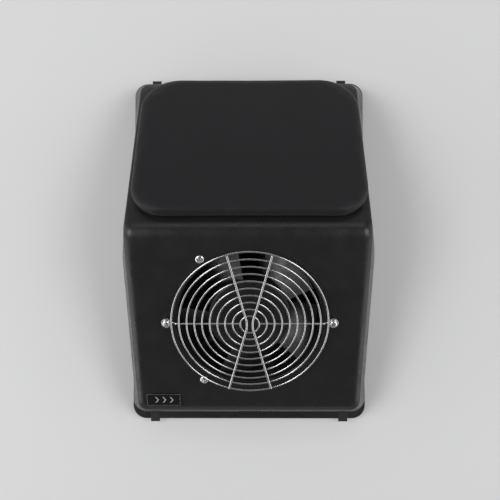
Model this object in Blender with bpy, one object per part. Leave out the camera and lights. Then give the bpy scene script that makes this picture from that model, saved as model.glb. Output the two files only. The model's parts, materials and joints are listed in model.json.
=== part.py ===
"""Table-top nail dust collector, as an assembly of separate pieces.

A gable shaped shell stands over a base plate. An axial fan hangs under the front slope behind a wire
guard, a padded hand rest lies on the rear slope, and a filter cassette sits over the exhaust slots of
the base plate.

Frame: the origin is the centre of the footprint on the table, +X right, -Y towards the user, +Z up. Metres.
"""

import math

import bmesh
import bpy
from mathutils import Matrix, Vector

# General sizes
GAP = 0.0003                    # clearance kept between pieces that touch
WALL = 0.003                    # moulded wall thickness
FOOT_HEIGHT = 0.008
PLATE_TOP = FOOT_HEIGHT + WALL

# Shell: the gable line of the roof, then the outlines that lie around it
FRONT_FOLD_Y, FRONT_FOLD_Z = -0.16925, 0.0425
RIDGE_Y, RIDGE_Z = 0.0130, 0.1243
REAR_FOLD_Y, REAR_FOLD_Z = 0.1768, 0.0383
FRONT_RISE = (RIDGE_Z - FRONT_FOLD_Z) / (RIDGE_Y - FRONT_FOLD_Y)
REAR_FALL = (RIDGE_Z - REAR_FOLD_Z) / (REAR_FOLD_Y - RIDGE_Y)
FRONT_ANGLE = math.atan(FRONT_RISE)
REAR_ANGLE = math.atan(REAR_FALL)
FOLD_HALF_WIDTH = 0.115
FOLD_BEVEL = 0.0042             # width of the bevelled strip between the roof and the fold line
FOLD_DROP = 0.0025
FOLD_CORNER = 0.010             # corner radii seen from above
FLAT_CORNER = 0.007
SIDE_CORNER = 0.0145
INNER_CORNER = SIDE_CORNER - WALL
SIDE_HALF_WIDTH = 0.1252
FRONT_END_Y, REAR_END_Y = -0.1762, 0.1814   # the end walls meet the rim here
RIM_HALF_WIDTH = 0.1265
RIM_HALF_LENGTH = 0.1847
HIP_DROP_FRONT = 0.036          # the upright side wall ends this far below the front slope
HIP_DROP_REAR = 0.053
HIP_FLOOR = 0.018
RIDGE_BLEND = 0.008             # half the length of the rounding over the ridge
HIP_BLEND = 0.014
SKIN = 0.0033                   # shell wall measured straight down, about 3 mm square to the slopes

# Tongues of the base plate that lock into notches of the rim
TONGUE_X = 0.1025
TONGUE_WIDTH = 0.0096
TONGUE_START_Y, TONGUE_END_Y = 0.160, 0.188
NOTCH_REACH = 0.0074            # how far a notch starts inside its end wall's outer face
NOTCH_END_Y = 0.195

# Fan, in its own frame: centre of the opening on the face of the front slope, +Z out of the slope
FAN_X, FAN_Y = 0.0015, -0.073
FAN_Z = RIDGE_Z - FRONT_RISE * (RIDGE_Y - FAN_Y)
FAN_OPENING_RADIUS = 0.0728
FAN_BOLT_RADIUS = 0.081
FAN_OUTER_RADIUS = 0.075
FAN_BORE_RADIUS = 0.0705
FAN_FLARE = 0.0015
FAN_TOP = -0.0034
FAN_BOTTOM = FAN_TOP - 0.038
LUG_HALF_WIDTH = 0.007
LUG_THICKNESS = 0.005
LUG_ANGLES = {"right": 0.0, "left": 180.0, "upper": 125.0, "lower": 235.0}
SCREW_RADIUS = 0.002
SCREW_END = -0.0135
SCREW_HEAD_HEIGHT = 0.0023
GUARD_SCREW_HEAD_RADIUS, FAN_SCREW_HEAD_RADIUS = 0.0035, 0.0041
WASHER_RADIUS, WASHER_THICKNESS = 0.0048, 0.001
NUT_RADIUS, NUT_HEIGHT = 0.004, 0.0032
TERMINAL_LOW, TERMINAL_HIGH = (0.0665, 0.025, -0.040), (0.074, 0.035, -0.030)

# Motor and impeller, along the fan's axis
BEARING_RADIUS = 0.011
BEARING_WIDTH = 0.007
SHAFT_RADIUS = 0.004
TUBE_RADIUS = 0.013
TUBE_TOP = -0.0132
STATOR_RADIUS = 0.031
STATOR_TOP, STATOR_BOTTOM = -0.0185, -0.0375
ROTOR_RADIUS = 0.035
ROTOR_TOP = -0.0105
ROTOR_INNER_TOP = -0.0126
ROTOR_BOTTOM = -0.0374
SHAFT_END = -0.0450
GROOVE_TOP, GROOVE_BOTTOM = -0.0418, -0.0434
HUB_RADIUS = 0.041
HUB_TOP = -0.0077
HUB_BOTTOM = -0.037
BLADE_COUNT = 5
BLADE_TIP_RADIUS = 0.069
BLADE_TOP = -0.0095
BLADE_BOTTOM = -0.0345
BLADE_START_DEG = 171.0         # upper edge of the first blade
BLADE_SPAN_DEG = 52.0
BLADE_HALF_THICKNESS = 0.001

# Finger guard
GUARD_RINGS = 10
GUARD_INNER_RADIUS = 0.0091
GUARD_OUTER_RADIUS = 0.07585
GUARD_HEIGHT = 0.0055           # centre of the ring wires above the face
RING_WIRE_RADIUS = 0.00095
STAY_WIRE_RADIUS = 0.0011
SIDE_STAY_HEIGHT = 0.004
CROSS_STAY_HEIGHT = 0.0071
CROSS_STAY_ANGLE = math.radians(14.8)
CROSS_STAY_CENTRE_X = 0.0028
CROSS_STAY_BEND_Y, CROSS_STAY_END_Y = 0.0035, 0.0727
EYELET_RADIUS = 0.0036
EYELET_HEIGHT = 0.0015

# Hand rest, in the frame of the rear slope: origin on the ridge line, +Y down the slope, +Z out of it
PAD_X = 0.00135
PAD_HALF_WIDTH = 0.1113
PAD_FRONT, PAD_REAR = 0.0123, 0.1783
PAD_FRONT_CORNER, PAD_REAR_CORNER = 0.032, 0.040
PAD_BOTTOM, PAD_TOP = 0.0022, 0.0150
STRIP_THICKNESS = 0.0008
STRIP_X, STRIP_HALF_WIDTH = 0.060, 0.0125
HOOK_START, HOOK_END = 0.030, 0.155
LOOP_START, LOOP_END = 0.032, 0.153
BOARD_BOTTOM = 0.0025
BOARD_INSET = 0.010

# Filter cassette and its seat
FILTER_HALF_WIDTH = 0.084
FILTER_FRONT, FILTER_REAR = -0.016, 0.134
FILTER_TOP = 0.031
FILTER_BORDER = 0.008
SEAL_THICKNESS = 0.002
PLEAT_PITCH = 0.008
PLEAT_HEIGHT = 0.0115
MEDIA_THICKNESS = 0.0022
TAB_HALF_WIDTH, TAB_END = 0.011, 0.016
LIP_HEIGHT = 0.009
LIP_WALL = 0.0025

# Power inlet and rocker switch, both in the right side wall
FLANGE_FACE = SIDE_HALF_WIDTH + GAP
FLANGE_OUTER = FLANGE_FACE + 0.001
INLET_Y, INLET_Z = 0.024, 0.034
INLET_BACK = 0.0945
INLET_BODY = (0.014, 0.010)     # half length and half height
INLET_FLANGE = (0.024, 0.011)
INLET_RECESS = (0.012, 0.008)
INLET_RECESS_DEPTH = 0.016
INLET_SCREW_PITCH = 0.040
INLET_SCREW_RADIUS = 0.0014
PIN_BACK = INLET_BACK - 0.004
PIN_PITCH, PIN_RISE = 0.007, 0.002
PIN_HALF_THICKNESS, PIN_HALF_HEIGHT = 0.001, 0.002
SWITCH_Y, SWITCH_Z = -0.024, 0.036
SWITCH_BACK = 0.108
SWITCH_BODY = (0.0093, 0.0063)
SWITCH_FLANGE = (0.0105, 0.0075)
SWITCH_RECESS = (0.008, 0.0052)
SWITCH_AXIS_X = 0.1206
ROCKER_TILT = math.radians(8.0)

# Feet
FOOT_X, FOOT_Y = 0.100, 0.150
FOOT_RADIUS = 0.010

# Colours
BLACK_PLASTIC = (0.020, 0.020, 0.021)
BLACK_METAL = (0.028, 0.028, 0.030)
RUBBER = (0.012, 0.012, 0.012)
STEEL = (0.62, 0.62, 0.63)
CHROME = (0.80, 0.80, 0.81)


# ---------------------------------------------------------------- solids

def prism(outline, low, high):
    """An outline of (x, y) points, extruded from height low to height high."""
    solid = bmesh.new()
    lower = [solid.verts.new((x, y, low)) for x, y in outline]
    upper = [solid.verts.new((x, y, high)) for x, y in outline]
    solid.faces.new(lower)
    solid.faces.new(upper)
    for index in range(len(outline)):
        after = (index + 1) % len(outline)
        solid.faces.new((lower[index], lower[after], upper[after], upper[index]))
    return solid


def box(low, high):
    """A box between two opposite corners."""
    outline = [(low[0], low[1]), (high[0], low[1]), (high[0], high[1]), (low[0], high[1])]
    return prism(outline, low[2], high[2])


def side_box(x_low, x_high, y, z, half):
    """A box across the side wall, centred at (y, z), from x_low to x_high."""
    return box((x_low, y - half[0], z - half[1]), (x_high, y + half[0], z + half[1]))


def circle(radius, segments, centre=(0.0, 0.0)):
    angles = [2 * math.pi * index / segments for index in range(segments)]
    return [(centre[0] + radius * math.cos(a), centre[1] + radius * math.sin(a)) for a in angles]


def turned(profile, segments=32):
    """A closed profile of (radius, height) points, turned around Z."""
    solid = bmesh.new()
    rings = []
    for radius, height in profile:
        outline = circle(radius, segments) if radius else [(0.0, 0.0)]
        rings.append([solid.verts.new((x, y, height)) for x, y in outline])
    for first, second in zip(rings, rings[1:] + rings[:1]):
        if len(first) == len(second) == 1:
            continue
        for index in range(segments):
            after = (index + 1) % segments
            corners = [first[index % len(first)], first[after % len(first)],
                       second[after % len(second)], second[index % len(second)]]
            solid.faces.new(list(dict.fromkeys(corners)))
    return solid


def arc(centre, radius, start_deg, end_deg, steps):
    """Points of an arc, both ends included."""
    points = []
    for step in range(steps + 1):
        angle = math.radians(start_deg + (end_deg - start_deg) * step / steps)
        points.append((centre[0] + radius * math.cos(angle), centre[1] + radius * math.sin(angle)))
    return points


def rounded_outline(half_width, y_front, y_rear, front_radius, rear_radius, stations=(), steps=5):
    """A rounded rectangle from its front right corner, anticlockwise, with a point at each side station."""
    x_front = half_width - front_radius
    x_rear = half_width - rear_radius
    right_side = [(half_width, y) for y in stations]
    left_side = [(-half_width, y) for y in reversed(stations)]
    return (arc((x_front, y_front + front_radius), front_radius, -90, 0, steps)
            + right_side
            + arc((x_rear, y_rear - rear_radius), rear_radius, 0, 90, steps)
            + arc((-x_rear, y_rear - rear_radius), rear_radius, 90, 180, steps)
            + left_side
            + arc((-x_front, y_front + front_radius), front_radius, 180, 270, steps))


def lofted(rings):
    """Stacked rings of points with the same count, closed at both ends by straight strips across X."""
    solid = bmesh.new()
    levels = [[solid.verts.new(point) for point in ring] for ring in rings]
    count = len(levels[0])
    for lower, upper in zip(levels, levels[1:]):
        for index in range(count):
            after = (index + 1) % count
            solid.faces.new((lower[index], lower[after], upper[after], upper[index]))
    for level in (levels[0], levels[-1]):
        for index in range(count // 2 - 1):
            across = count - 1 - index
            solid.faces.new((level[index], level[index + 1], level[across - 1], level[across]))
    return solid


def wire(points, radius, sides=6, closed=False):
    """A round wire along a list of points."""
    solid = bmesh.new()
    path = [Vector(point) for point in points]
    count = len(path)
    rings = []
    for index, point in enumerate(path):
        before = path[index - 1] if closed or index > 0 else point
        after = path[(index + 1) % count] if closed or index < count - 1 else point
        along = (after - before).normalized()
        across = along.cross(Vector((0, 0, 1))).normalized()
        up = across.cross(along)
        ring = []
        for side in range(sides):
            angle = 2 * math.pi * side / sides
            ring.append(solid.verts.new(point + radius * (math.cos(angle) * across + math.sin(angle) * up)))
        rings.append(ring)
    pairs = list(zip(rings, rings[1:]))
    if closed:
        pairs.append((rings[-1], rings[0]))
    for first, second in pairs:
        for side in range(sides):
            after = (side + 1) % sides
            solid.faces.new((first[side], first[after], second[after], second[side]))
    if not closed:
        solid.faces.new(rings[0])
        solid.faces.new(rings[-1])
    return solid


def gathered(solids):
    """One bmesh that holds several separate solids."""
    whole = bmesh.new()
    for solid in solids:
        bmesh.ops.recalc_face_normals(solid, faces=solid.faces)
        part = bpy.data.meshes.new("part")
        solid.to_mesh(part)
        solid.free()
        whole.from_mesh(part)
        bpy.data.meshes.remove(part)
    return whole


# ---------------------------------------------------------------- objects

def make(name, solid):
    """A linked object from a bmesh, with its faces pointing out."""
    bmesh.ops.recalc_face_normals(solid, faces=solid.faces)
    mesh = bpy.data.meshes.new(name)
    solid.to_mesh(mesh)
    solid.free()
    item = bpy.data.objects.new(name, mesh)
    bpy.context.scene.collection.objects.link(item)
    return item


def combine(target, solid, operation):
    """Applies one Boolean of a helper solid to target, both in target's own axes."""
    helper = make("helper", solid)
    modifier = target.modifiers.new("combine", "BOOLEAN")
    modifier.solver = "EXACT"
    modifier.operation = operation
    modifier.object = helper
    bpy.context.view_layer.update()
    evaluated = target.evaluated_get(bpy.context.evaluated_depsgraph_get())
    result = bpy.data.meshes.new_from_object(evaluated)
    target.modifiers.clear()
    target.data = result
    bpy.data.objects.remove(helper)


def cut(target, solid):
    combine(target, solid, "DIFFERENCE")


def weld(target, solid):
    combine(target, solid, "UNION")


def finish(item, colour, roughness, metallic=0.0, parent=None):
    """Shades a piece, gives it its own material and hangs it on its parent's axes."""
    material = bpy.data.materials.new(item.name)
    material.use_nodes = True
    shader = material.node_tree.nodes["Principled BSDF"]
    shader.inputs["Base Color"].default_value = (*colour, 1.0)
    shader.inputs["Roughness"].default_value = roughness
    shader.inputs["Metallic"].default_value = metallic
    material.diffuse_color = (*colour, 1.0)
    item.data.materials.clear()
    item.data.materials.append(material)
    if item.type == "MESH":
        item.data.shade_smooth()
        item.data.set_sharp_from_angle(angle=math.radians(35))
    item.parent = parent
    return item


def axes(name, location, tilt=0.0, turn=0.0):
    """An empty that carries a local frame."""
    empty = bpy.data.objects.new(name, None)
    empty.location = location
    empty.rotation_euler = (tilt, 0.0, turn)
    bpy.context.scene.collection.objects.link(empty)
    return empty


def fan_to_world():
    return Matrix.Translation((FAN_X, FAN_Y, FAN_Z)) @ Matrix.Rotation(FRONT_ANGLE, 4, "X")


def moved(solid, matrix):
    solid.transform(matrix)
    return solid


def along_x(centre):
    """Turns a solid built along Z so that it lies along X at centre."""
    return Matrix.Translation(centre) @ Matrix.Rotation(math.radians(90), 4, "Y")


# ---------------------------------------------------------------- shell

def smooth_minimum(first, second, reach):
    closeness = max(reach - abs(first - second), 0.0) / reach
    return min(first, second) - closeness * closeness * reach / 4


def gable(y, front_drop, rear_drop, blend):
    """Height of a gable line at y: two straight slopes, each lowered, with a rounded top."""
    front = RIDGE_Z - FRONT_RISE * (RIDGE_Y - y) - front_drop
    rear = RIDGE_Z - REAR_FALL * (y - RIDGE_Y) - rear_drop
    return smooth_minimum(front, rear, blend * (FRONT_RISE + REAR_FALL))


def roof_height(y, drop):
    return gable(y, drop, drop, RIDGE_BLEND)


def hip_height(y, drop):
    return max(HIP_FLOOR - drop, gable(y, HIP_DROP_FRONT, HIP_DROP_REAR, HIP_BLEND) - drop)


def shell_stations():
    """Places along Y where the sides need a point: both ends of the hip line, its top, and the ridge."""
    hip_front = RIDGE_Y - (RIDGE_Z - HIP_DROP_FRONT - HIP_FLOOR) / FRONT_RISE
    hip_rear = RIDGE_Y + (RIDGE_Z - HIP_DROP_REAR - HIP_FLOOR) / REAR_FALL
    hip_top = RIDGE_Y - (HIP_DROP_REAR - HIP_DROP_FRONT) / (FRONT_RISE + REAR_FALL)
    hip_points = [hip_top + HIP_BLEND * part for part in (-1.0, -0.5, 0.0, 0.5)]
    ridge_points = [RIDGE_Y + RIDGE_BLEND * part for part in (-1.0, -0.5, 0.0, 0.5, 1.0)]
    return [hip_front] + hip_points + ridge_points + [hip_rear]


def shell_ring(half_width, y_front, y_rear, radius, height):
    outline = rounded_outline(half_width, y_front, y_rear, radius, radius, shell_stations())
    return [(x, y, height(y)) for x, y in outline]


def shell_rings():
    """From the top of the roof down the outside to the rim, then up the inside."""
    front, rear = FRONT_FOLD_Y, REAR_FOLD_Y
    inner_half = SIDE_HALF_WIDTH - WALL
    inner_front, inner_rear = FRONT_END_Y + WALL, REAR_END_Y - WALL
    flat = FOLD_BEVEL
    inner_flat = FOLD_BEVEL + WALL
    inset = 0.002               # the inner corners of the folds are this much tighter
    return [
        shell_ring(FOLD_HALF_WIDTH - flat, front + flat, rear - flat, FLAT_CORNER,
                   lambda y: roof_height(y, 0)),
        shell_ring(FOLD_HALF_WIDTH, front, rear, FOLD_CORNER, lambda y: roof_height(y, FOLD_DROP)),
        shell_ring(SIDE_HALF_WIDTH, FRONT_END_Y, REAR_END_Y, SIDE_CORNER, lambda y: hip_height(y, 0)),
        shell_ring(SIDE_HALF_WIDTH, FRONT_END_Y, REAR_END_Y, SIDE_CORNER, lambda y: PLATE_TOP),
        shell_ring(RIM_HALF_WIDTH, -RIM_HALF_LENGTH, RIM_HALF_LENGTH, SIDE_CORNER, lambda y: PLATE_TOP),
        shell_ring(RIM_HALF_WIDTH, -RIM_HALF_LENGTH, RIM_HALF_LENGTH, SIDE_CORNER, lambda y: FOOT_HEIGHT),
        shell_ring(inner_half, inner_front, inner_rear, INNER_CORNER, lambda y: FOOT_HEIGHT),
        shell_ring(inner_half, inner_front, inner_rear, INNER_CORNER, lambda y: hip_height(y, 0.001)),
        shell_ring(FOLD_HALF_WIDTH - WALL, front + WALL, rear - WALL, FOLD_CORNER - inset,
                   lambda y: roof_height(y, FOLD_DROP + SKIN)),
        shell_ring(FOLD_HALF_WIDTH - inner_flat, front + inner_flat, rear - inner_flat, FLAT_CORNER - inset,
                   lambda y: roof_height(y, SKIN)),
    ]


def lug_centre(angle_deg):
    angle = math.radians(angle_deg)
    return FAN_BOLT_RADIUS * math.cos(angle), FAN_BOLT_RADIUS * math.sin(angle)


def build_top_shell():
    shell = make("top_shell", lofted(shell_rings()))
    deep = 0.020
    cut(shell, moved(prism(circle(FAN_OPENING_RADIUS, 56), -deep, deep), fan_to_world()))
    holes = []
    for angle in LUG_ANGLES.values():
        hole = prism(circle(SCREW_RADIUS + 0.0004, 12, lug_centre(angle)), -0.010, 0.010)
        holes.append(moved(hole, fan_to_world()))
    cut(shell, gathered(holes))
    notches = []
    half = TONGUE_WIDTH / 2 + GAP
    for side_x in (-TONGUE_X, TONGUE_X):
        for y_low, y_high in ((-NOTCH_END_Y, FRONT_END_Y + NOTCH_REACH), (REAR_END_Y - NOTCH_REACH, NOTCH_END_Y)):
            notches.append(box((side_x - half, y_low, 0.0), (side_x + half, y_high, PLATE_TOP + GAP)))
    cut(shell, gathered(notches))
    openings = []
    inside, outside = SIDE_HALF_WIDTH - 0.014, SIDE_HALF_WIDTH + 0.010
    for y, z, body in ((INLET_Y, INLET_Z, INLET_BODY), (SWITCH_Y, SWITCH_Z, SWITCH_BODY)):
        openings.append(side_box(inside, outside, y, z, (body[0] + GAP, body[1] + GAP)))
    for offset in (-INLET_SCREW_PITCH / 2, INLET_SCREW_PITCH / 2):
        hole = prism(circle(INLET_SCREW_RADIUS + 0.0004, 10), -0.010, 0.010)
        openings.append(moved(hole, along_x((SIDE_HALF_WIDTH, INLET_Y + offset, INLET_Z))))
    cut(shell, gathered(openings))
    finish(shell, BLACK_PLASTIC, 0.55)


def build_badge_plate(fan_axes):
    centre = Vector((-0.0890, -0.0908, 0.0))
    half_width, half_height, rim = 0.01725, 0.0070, 0.0008
    plate = make("badge_plate", box((-half_width, -half_height, GAP), (half_width, half_height, 0.0015)))
    field_width, field_height = half_width - rim, half_height - rim
    cut(plate, box((-field_width, -field_height, 0.0011), (field_width, field_height, 0.003)))
    plate.data.transform(Matrix.Translation(centre))
    finish(plate, CHROME, 0.3, 1.0, fan_axes)


# ---------------------------------------------------------------- base

def build_base_plate():
    half_width = SIDE_HALF_WIDTH - WALL - GAP
    y_front, y_rear = FRONT_END_Y + WALL + GAP, REAR_END_Y - WALL - GAP
    corner = INNER_CORNER - GAP
    outline = rounded_outline(half_width, y_front, y_rear, corner, corner)
    plate = make("base_plate", prism(outline, FOOT_HEIGHT, PLATE_TOP))
    inset = 0.0002
    tongues = []
    for side_x in (-TONGUE_X, TONGUE_X):
        low, high = side_x - TONGUE_WIDTH / 2, side_x + TONGUE_WIDTH / 2
        for y_low, y_high in ((-TONGUE_END_Y, -TONGUE_START_Y), (TONGUE_START_Y, TONGUE_END_Y)):
            tongues.append(box((low, y_low, FOOT_HEIGHT + inset), (high, y_high, PLATE_TOP - inset)))
    weld(plate, gathered(tongues))
    clearance = 0.0006
    outer = FILTER_HALF_WIDTH + clearance + LIP_WALL
    inner = FILTER_HALF_WIDTH + clearance
    lip = make("lip", box((-outer, FILTER_FRONT - clearance - LIP_WALL, PLATE_TOP - 0.001),
                          (outer, FILTER_REAR + clearance + LIP_WALL, PLATE_TOP + LIP_HEIGHT)))
    cut(lip, box((-inner, FILTER_FRONT - clearance, 0.0), (inner, FILTER_REAR + clearance, 0.05)))
    lip_solid = bmesh.new()
    lip_solid.from_mesh(lip.data)
    bpy.data.objects.remove(lip)
    weld(plate, lip_solid)
    bosses, holes, slots = [], [], []
    for x in (-FOOT_X, FOOT_X):
        for y in (-FOOT_Y, FOOT_Y):
            bosses.append(prism(circle(0.005, 16, (x, y)), PLATE_TOP - 0.001, 0.0155))
            holes.append(prism(circle(SCREW_RADIUS + GAP, 12, (x, y)), 0.0, 0.0137))
    slot_width, slot_pitch, slot_rows = 0.004, 0.009, 13
    first_row = (FILTER_FRONT + FILTER_REAR - slot_pitch * (slot_rows - 1)) / 2
    for row in range(slot_rows):
        y = first_row + slot_pitch * row
        for x_low, x_high in ((-0.068, -0.008), (0.008, 0.068)):
            slots.append(box((x_low, y - slot_width / 2, 0.0), (x_high, y + slot_width / 2, 0.05)))
    weld(plate, gathered(bosses))
    cut(plate, gathered(holes + slots))
    finish(plate, BLACK_PLASTIC, 0.6)


def build_feet():
    profile = [(0.0023, 0.004), (0.0023, FOOT_HEIGHT - GAP), (FOOT_RADIUS, FOOT_HEIGHT - GAP),
               (FOOT_RADIUS - 0.001, 0.0), (0.0048, 0.0), (0.0048, 0.004)]
    screw = [(0.0, 0.0012), (0.0040, 0.0015), (0.0040, 0.0037), (SCREW_RADIUS, 0.0037),
             (SCREW_RADIUS, 0.0132), (0.0, 0.0132)]
    for depth, y in (("front", -FOOT_Y), ("rear", FOOT_Y)):
        for side, x in (("left", -FOOT_X), ("right", FOOT_X)):
            foot = make("foot_" + depth + "_" + side, turned(profile, 18))
            foot.location = (x, y, 0.0)
            finish(foot, RUBBER, 0.8)
            bolt = make("foot_screw_" + depth + "_" + side, turned(screw, 12))
            bolt.location = (x, y, 0.0)
            finish(bolt, STEEL, 0.35, 1.0)


# ---------------------------------------------------------------- filter

def framed_box(half_width, y_low, y_high, wall, low, high):
    """A rectangular ring: outer box without its middle."""
    ring = make("ring", box((-half_width, y_low, low), (half_width, y_high, high)))
    inner = half_width - wall
    cut(ring, box((-inner, y_low + wall, low - 0.01), (inner, y_high - wall, high + 0.01)))
    solid = bmesh.new()
    solid.from_mesh(ring.data)
    bpy.data.objects.remove(ring)
    return solid


def build_filter():
    seal_low = PLATE_TOP + GAP
    frame_low = seal_low + SEAL_THICKNESS + GAP
    seal = make("filter_seal", framed_box(FILTER_HALF_WIDTH, FILTER_FRONT, FILTER_REAR, FILTER_BORDER,
                                          seal_low, seal_low + SEAL_THICKNESS))
    finish(seal, RUBBER, 0.95)
    frame = make("filter_frame", framed_box(FILTER_HALF_WIDTH, FILTER_FRONT, FILTER_REAR, FILTER_BORDER,
                                            frame_low, FILTER_TOP))
    cut(frame, box((WALL - FILTER_HALF_WIDTH, FILTER_FRONT + WALL, frame_low + 0.002),
                   (FILTER_HALF_WIDTH - WALL, FILTER_REAR - WALL, 0.05)))
    finish(frame, (0.72, 0.72, 0.70), 0.6)

    low = frame_low + 0.0025
    pleats = int(2 * (FILTER_HALF_WIDTH - WALL) / PLEAT_PITCH)
    start = -pleats * PLEAT_PITCH / 2
    y_low, y_high = FILTER_FRONT + WALL + 0.0005, FILTER_REAR - WALL - 0.0005
    rows = []
    media = bmesh.new()
    for index in range(2 * pleats + 1):
        x = start + index * PLEAT_PITCH / 2
        z = low + PLEAT_HEIGHT * (index % 2)
        top = z + MEDIA_THICKNESS
        corners = [(x, y_low, z), (x, y_high, z), (x, y_high, top), (x, y_low, top)]
        rows.append([media.verts.new(corner) for corner in corners])
    for first, second in zip(rows, rows[1:]):
        for index in range(4):
            after = (index + 1) % 4
            media.faces.new((first[index], first[after], second[after], second[index]))
    media.faces.new(rows[0])
    media.faces.new(rows[-1])
    finish(make("filter_media", media), (0.85, 0.85, 0.82), 0.95)

    tab_bottom = FILTER_TOP + GAP
    tab_outline = rounded_outline(TAB_HALF_WIDTH, FILTER_FRONT, TAB_END, 0.001, 0.008, steps=4)
    tab = prism(tab_outline, tab_bottom, tab_bottom + 0.0008)
    finish(make("filter_pull_tab", tab), (0.10, 0.10, 0.11), 0.9)


# ---------------------------------------------------------------- fan

def lug_outline():
    inner = FAN_OUTER_RADIUS - 0.0022
    tip = arc((FAN_BOLT_RADIUS, 0.0), LUG_HALF_WIDTH, -90, 90, 8)
    return [(inner, -LUG_HALF_WIDTH)] + tip + [(inner, LUG_HALF_WIDTH)]


def build_fan_frame(fan_axes):
    mouth = FAN_BORE_RADIUS + FAN_FLARE
    ring_profile = [(FAN_OUTER_RADIUS, FAN_TOP), (FAN_OUTER_RADIUS, FAN_BOTTOM),
                    (mouth, FAN_BOTTOM), (FAN_BORE_RADIUS, FAN_BOTTOM + 0.006),
                    (FAN_BORE_RADIUS, FAN_TOP - 0.007), (mouth, FAN_TOP)]
    frame = make("fan_frame", turned(ring_profile, 48))
    inset = 0.0004
    lugs, holes = [], []
    for angle in LUG_ANGLES.values():
        turn = Matrix.Rotation(math.radians(angle), 4, "Z")
        lugs.append(moved(prism(lug_outline(), FAN_TOP - LUG_THICKNESS, FAN_TOP - inset), turn))
        holes.append(prism(circle(SCREW_RADIUS + GAP, 12, lug_centre(angle)), -0.012, 0.002))
    weld(frame, gathered(lugs))
    cut(frame, gathered(holes))

    disc_top, disc_radius = FAN_BOTTOM + 0.0025, HUB_RADIUS
    bore, step = BEARING_RADIUS + GAP, 0.009
    rear_seat = FAN_BOTTOM + BEARING_WIDTH + 2 * GAP
    front_seat = TUBE_TOP - BEARING_WIDTH - 4 * GAP
    base_profile = [(disc_radius, disc_top), (disc_radius, FAN_BOTTOM), (bore, FAN_BOTTOM), (bore, rear_seat),
                    (step, rear_seat), (step, front_seat), (bore, front_seat),
                    (bore, TUBE_TOP), (TUBE_RADIUS, TUBE_TOP), (TUBE_RADIUS, disc_top)]
    struts = []
    strut_start, strut_end, strut_half = disc_radius - 0.003, FAN_BORE_RADIUS + 0.0025, 0.003
    strut_low, strut_high = FAN_BOTTOM + inset, FAN_BOTTOM + 0.0034
    for quarter in range(4):
        strut = box((strut_start, -strut_half, strut_low), (strut_end, strut_half, strut_high))
        struts.append(moved(strut, Matrix.Rotation(math.radians(45 + 90 * quarter), 4, "Z")))
    motor_base = make("motor_base", turned(base_profile, 32))
    weld(motor_base, gathered(struts))
    weld(frame, box(TERMINAL_LOW, TERMINAL_HIGH))
    base_solid = bmesh.new()
    base_solid.from_mesh(motor_base.data)
    bpy.data.objects.remove(motor_base)
    weld(frame, base_solid)
    finish(frame, BLACK_METAL, 0.5, 0.0, fan_axes)


def bearing_profile(low):
    high, groove = low + BEARING_WIDTH, 0.0005
    bore = SHAFT_RADIUS + GAP
    return [(BEARING_RADIUS, low), (BEARING_RADIUS, high), (0.0096, high), (0.0096, high - groove),
            (0.006, high - groove), (0.006, high), (bore, high), (bore, low),
            (0.006, low), (0.006, low + groove), (0.0096, low + groove), (0.0096, low)]


def build_motor(fan_axes):
    teeth, slot_radius = 12, 0.024
    outline = []
    for tooth in range(teeth):
        start = 360.0 / teeth * tooth
        outline += arc((0, 0), STATOR_RADIUS, start, start + 22, 3)
        outline += arc((0, 0), slot_radius, start + 24, start + 28, 1)
    stator = make("stator", prism(outline, STATOR_BOTTOM, STATOR_TOP))
    cut(stator, prism(circle(TUBE_RADIUS + GAP, 24), -0.05, 0.0))
    finish(stator, (0.45, 0.27, 0.16), 0.4, 0.7, fan_axes)
    bearings = {"bearing_rear": FAN_BOTTOM + GAP, "bearing_front": TUBE_TOP - BEARING_WIDTH - GAP}
    for name, low in bearings.items():
        finish(make(name, turned(bearing_profile(low), 18)), STEEL, 0.25, 1.0, fan_axes)


def blade(start_deg):
    """One twisted blade, thick along Z, running round the hub as it drops from its radial upper edge."""
    solid = bmesh.new()
    radii = [HUB_RADIUS - 0.002, 0.048, 0.058, BLADE_TIP_RADIUS]
    steps = 6
    upper, lower = [], []
    for radius in radii:
        out = (radius - radii[0]) / (radii[-1] - radii[0])
        upper_row, lower_row = [], []
        for step in range(steps + 1):
            part = step / steps
            angle = math.radians(start_deg + BLADE_SPAN_DEG * part * (1.0 - 0.12 * out))
            camber = 0.002 * math.sin(math.pi * part) * (1 - out)
            centre = BLADE_TOP + (BLADE_BOTTOM - BLADE_TOP) * part + camber
            x, y = radius * math.cos(angle), radius * math.sin(angle)
            upper_row.append(solid.verts.new((x, y, centre + BLADE_HALF_THICKNESS)))
            lower_row.append(solid.verts.new((x, y, centre - BLADE_HALF_THICKNESS)))
        upper.append(upper_row)
        lower.append(lower_row)
    for grid in (upper, lower):
        for near, far in zip(grid, grid[1:]):
            for step in range(steps):
                solid.faces.new((near[step], near[step + 1], far[step + 1], far[step]))
    rows = list(range(len(radii)))
    border = [(rows[0], step) for step in range(steps)] + [(row, steps) for row in rows[:-1]]
    border += [(rows[-1], step) for step in range(steps, 0, -1)] + [(row, 0) for row in reversed(rows[1:])]
    for here, after in zip(border, border[1:] + border[:1]):
        solid.faces.new((upper[here[0]][here[1]], upper[after[0]][after[1]],
                         lower[after[0]][after[1]], lower[here[0]][here[1]]))
    return solid


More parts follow.
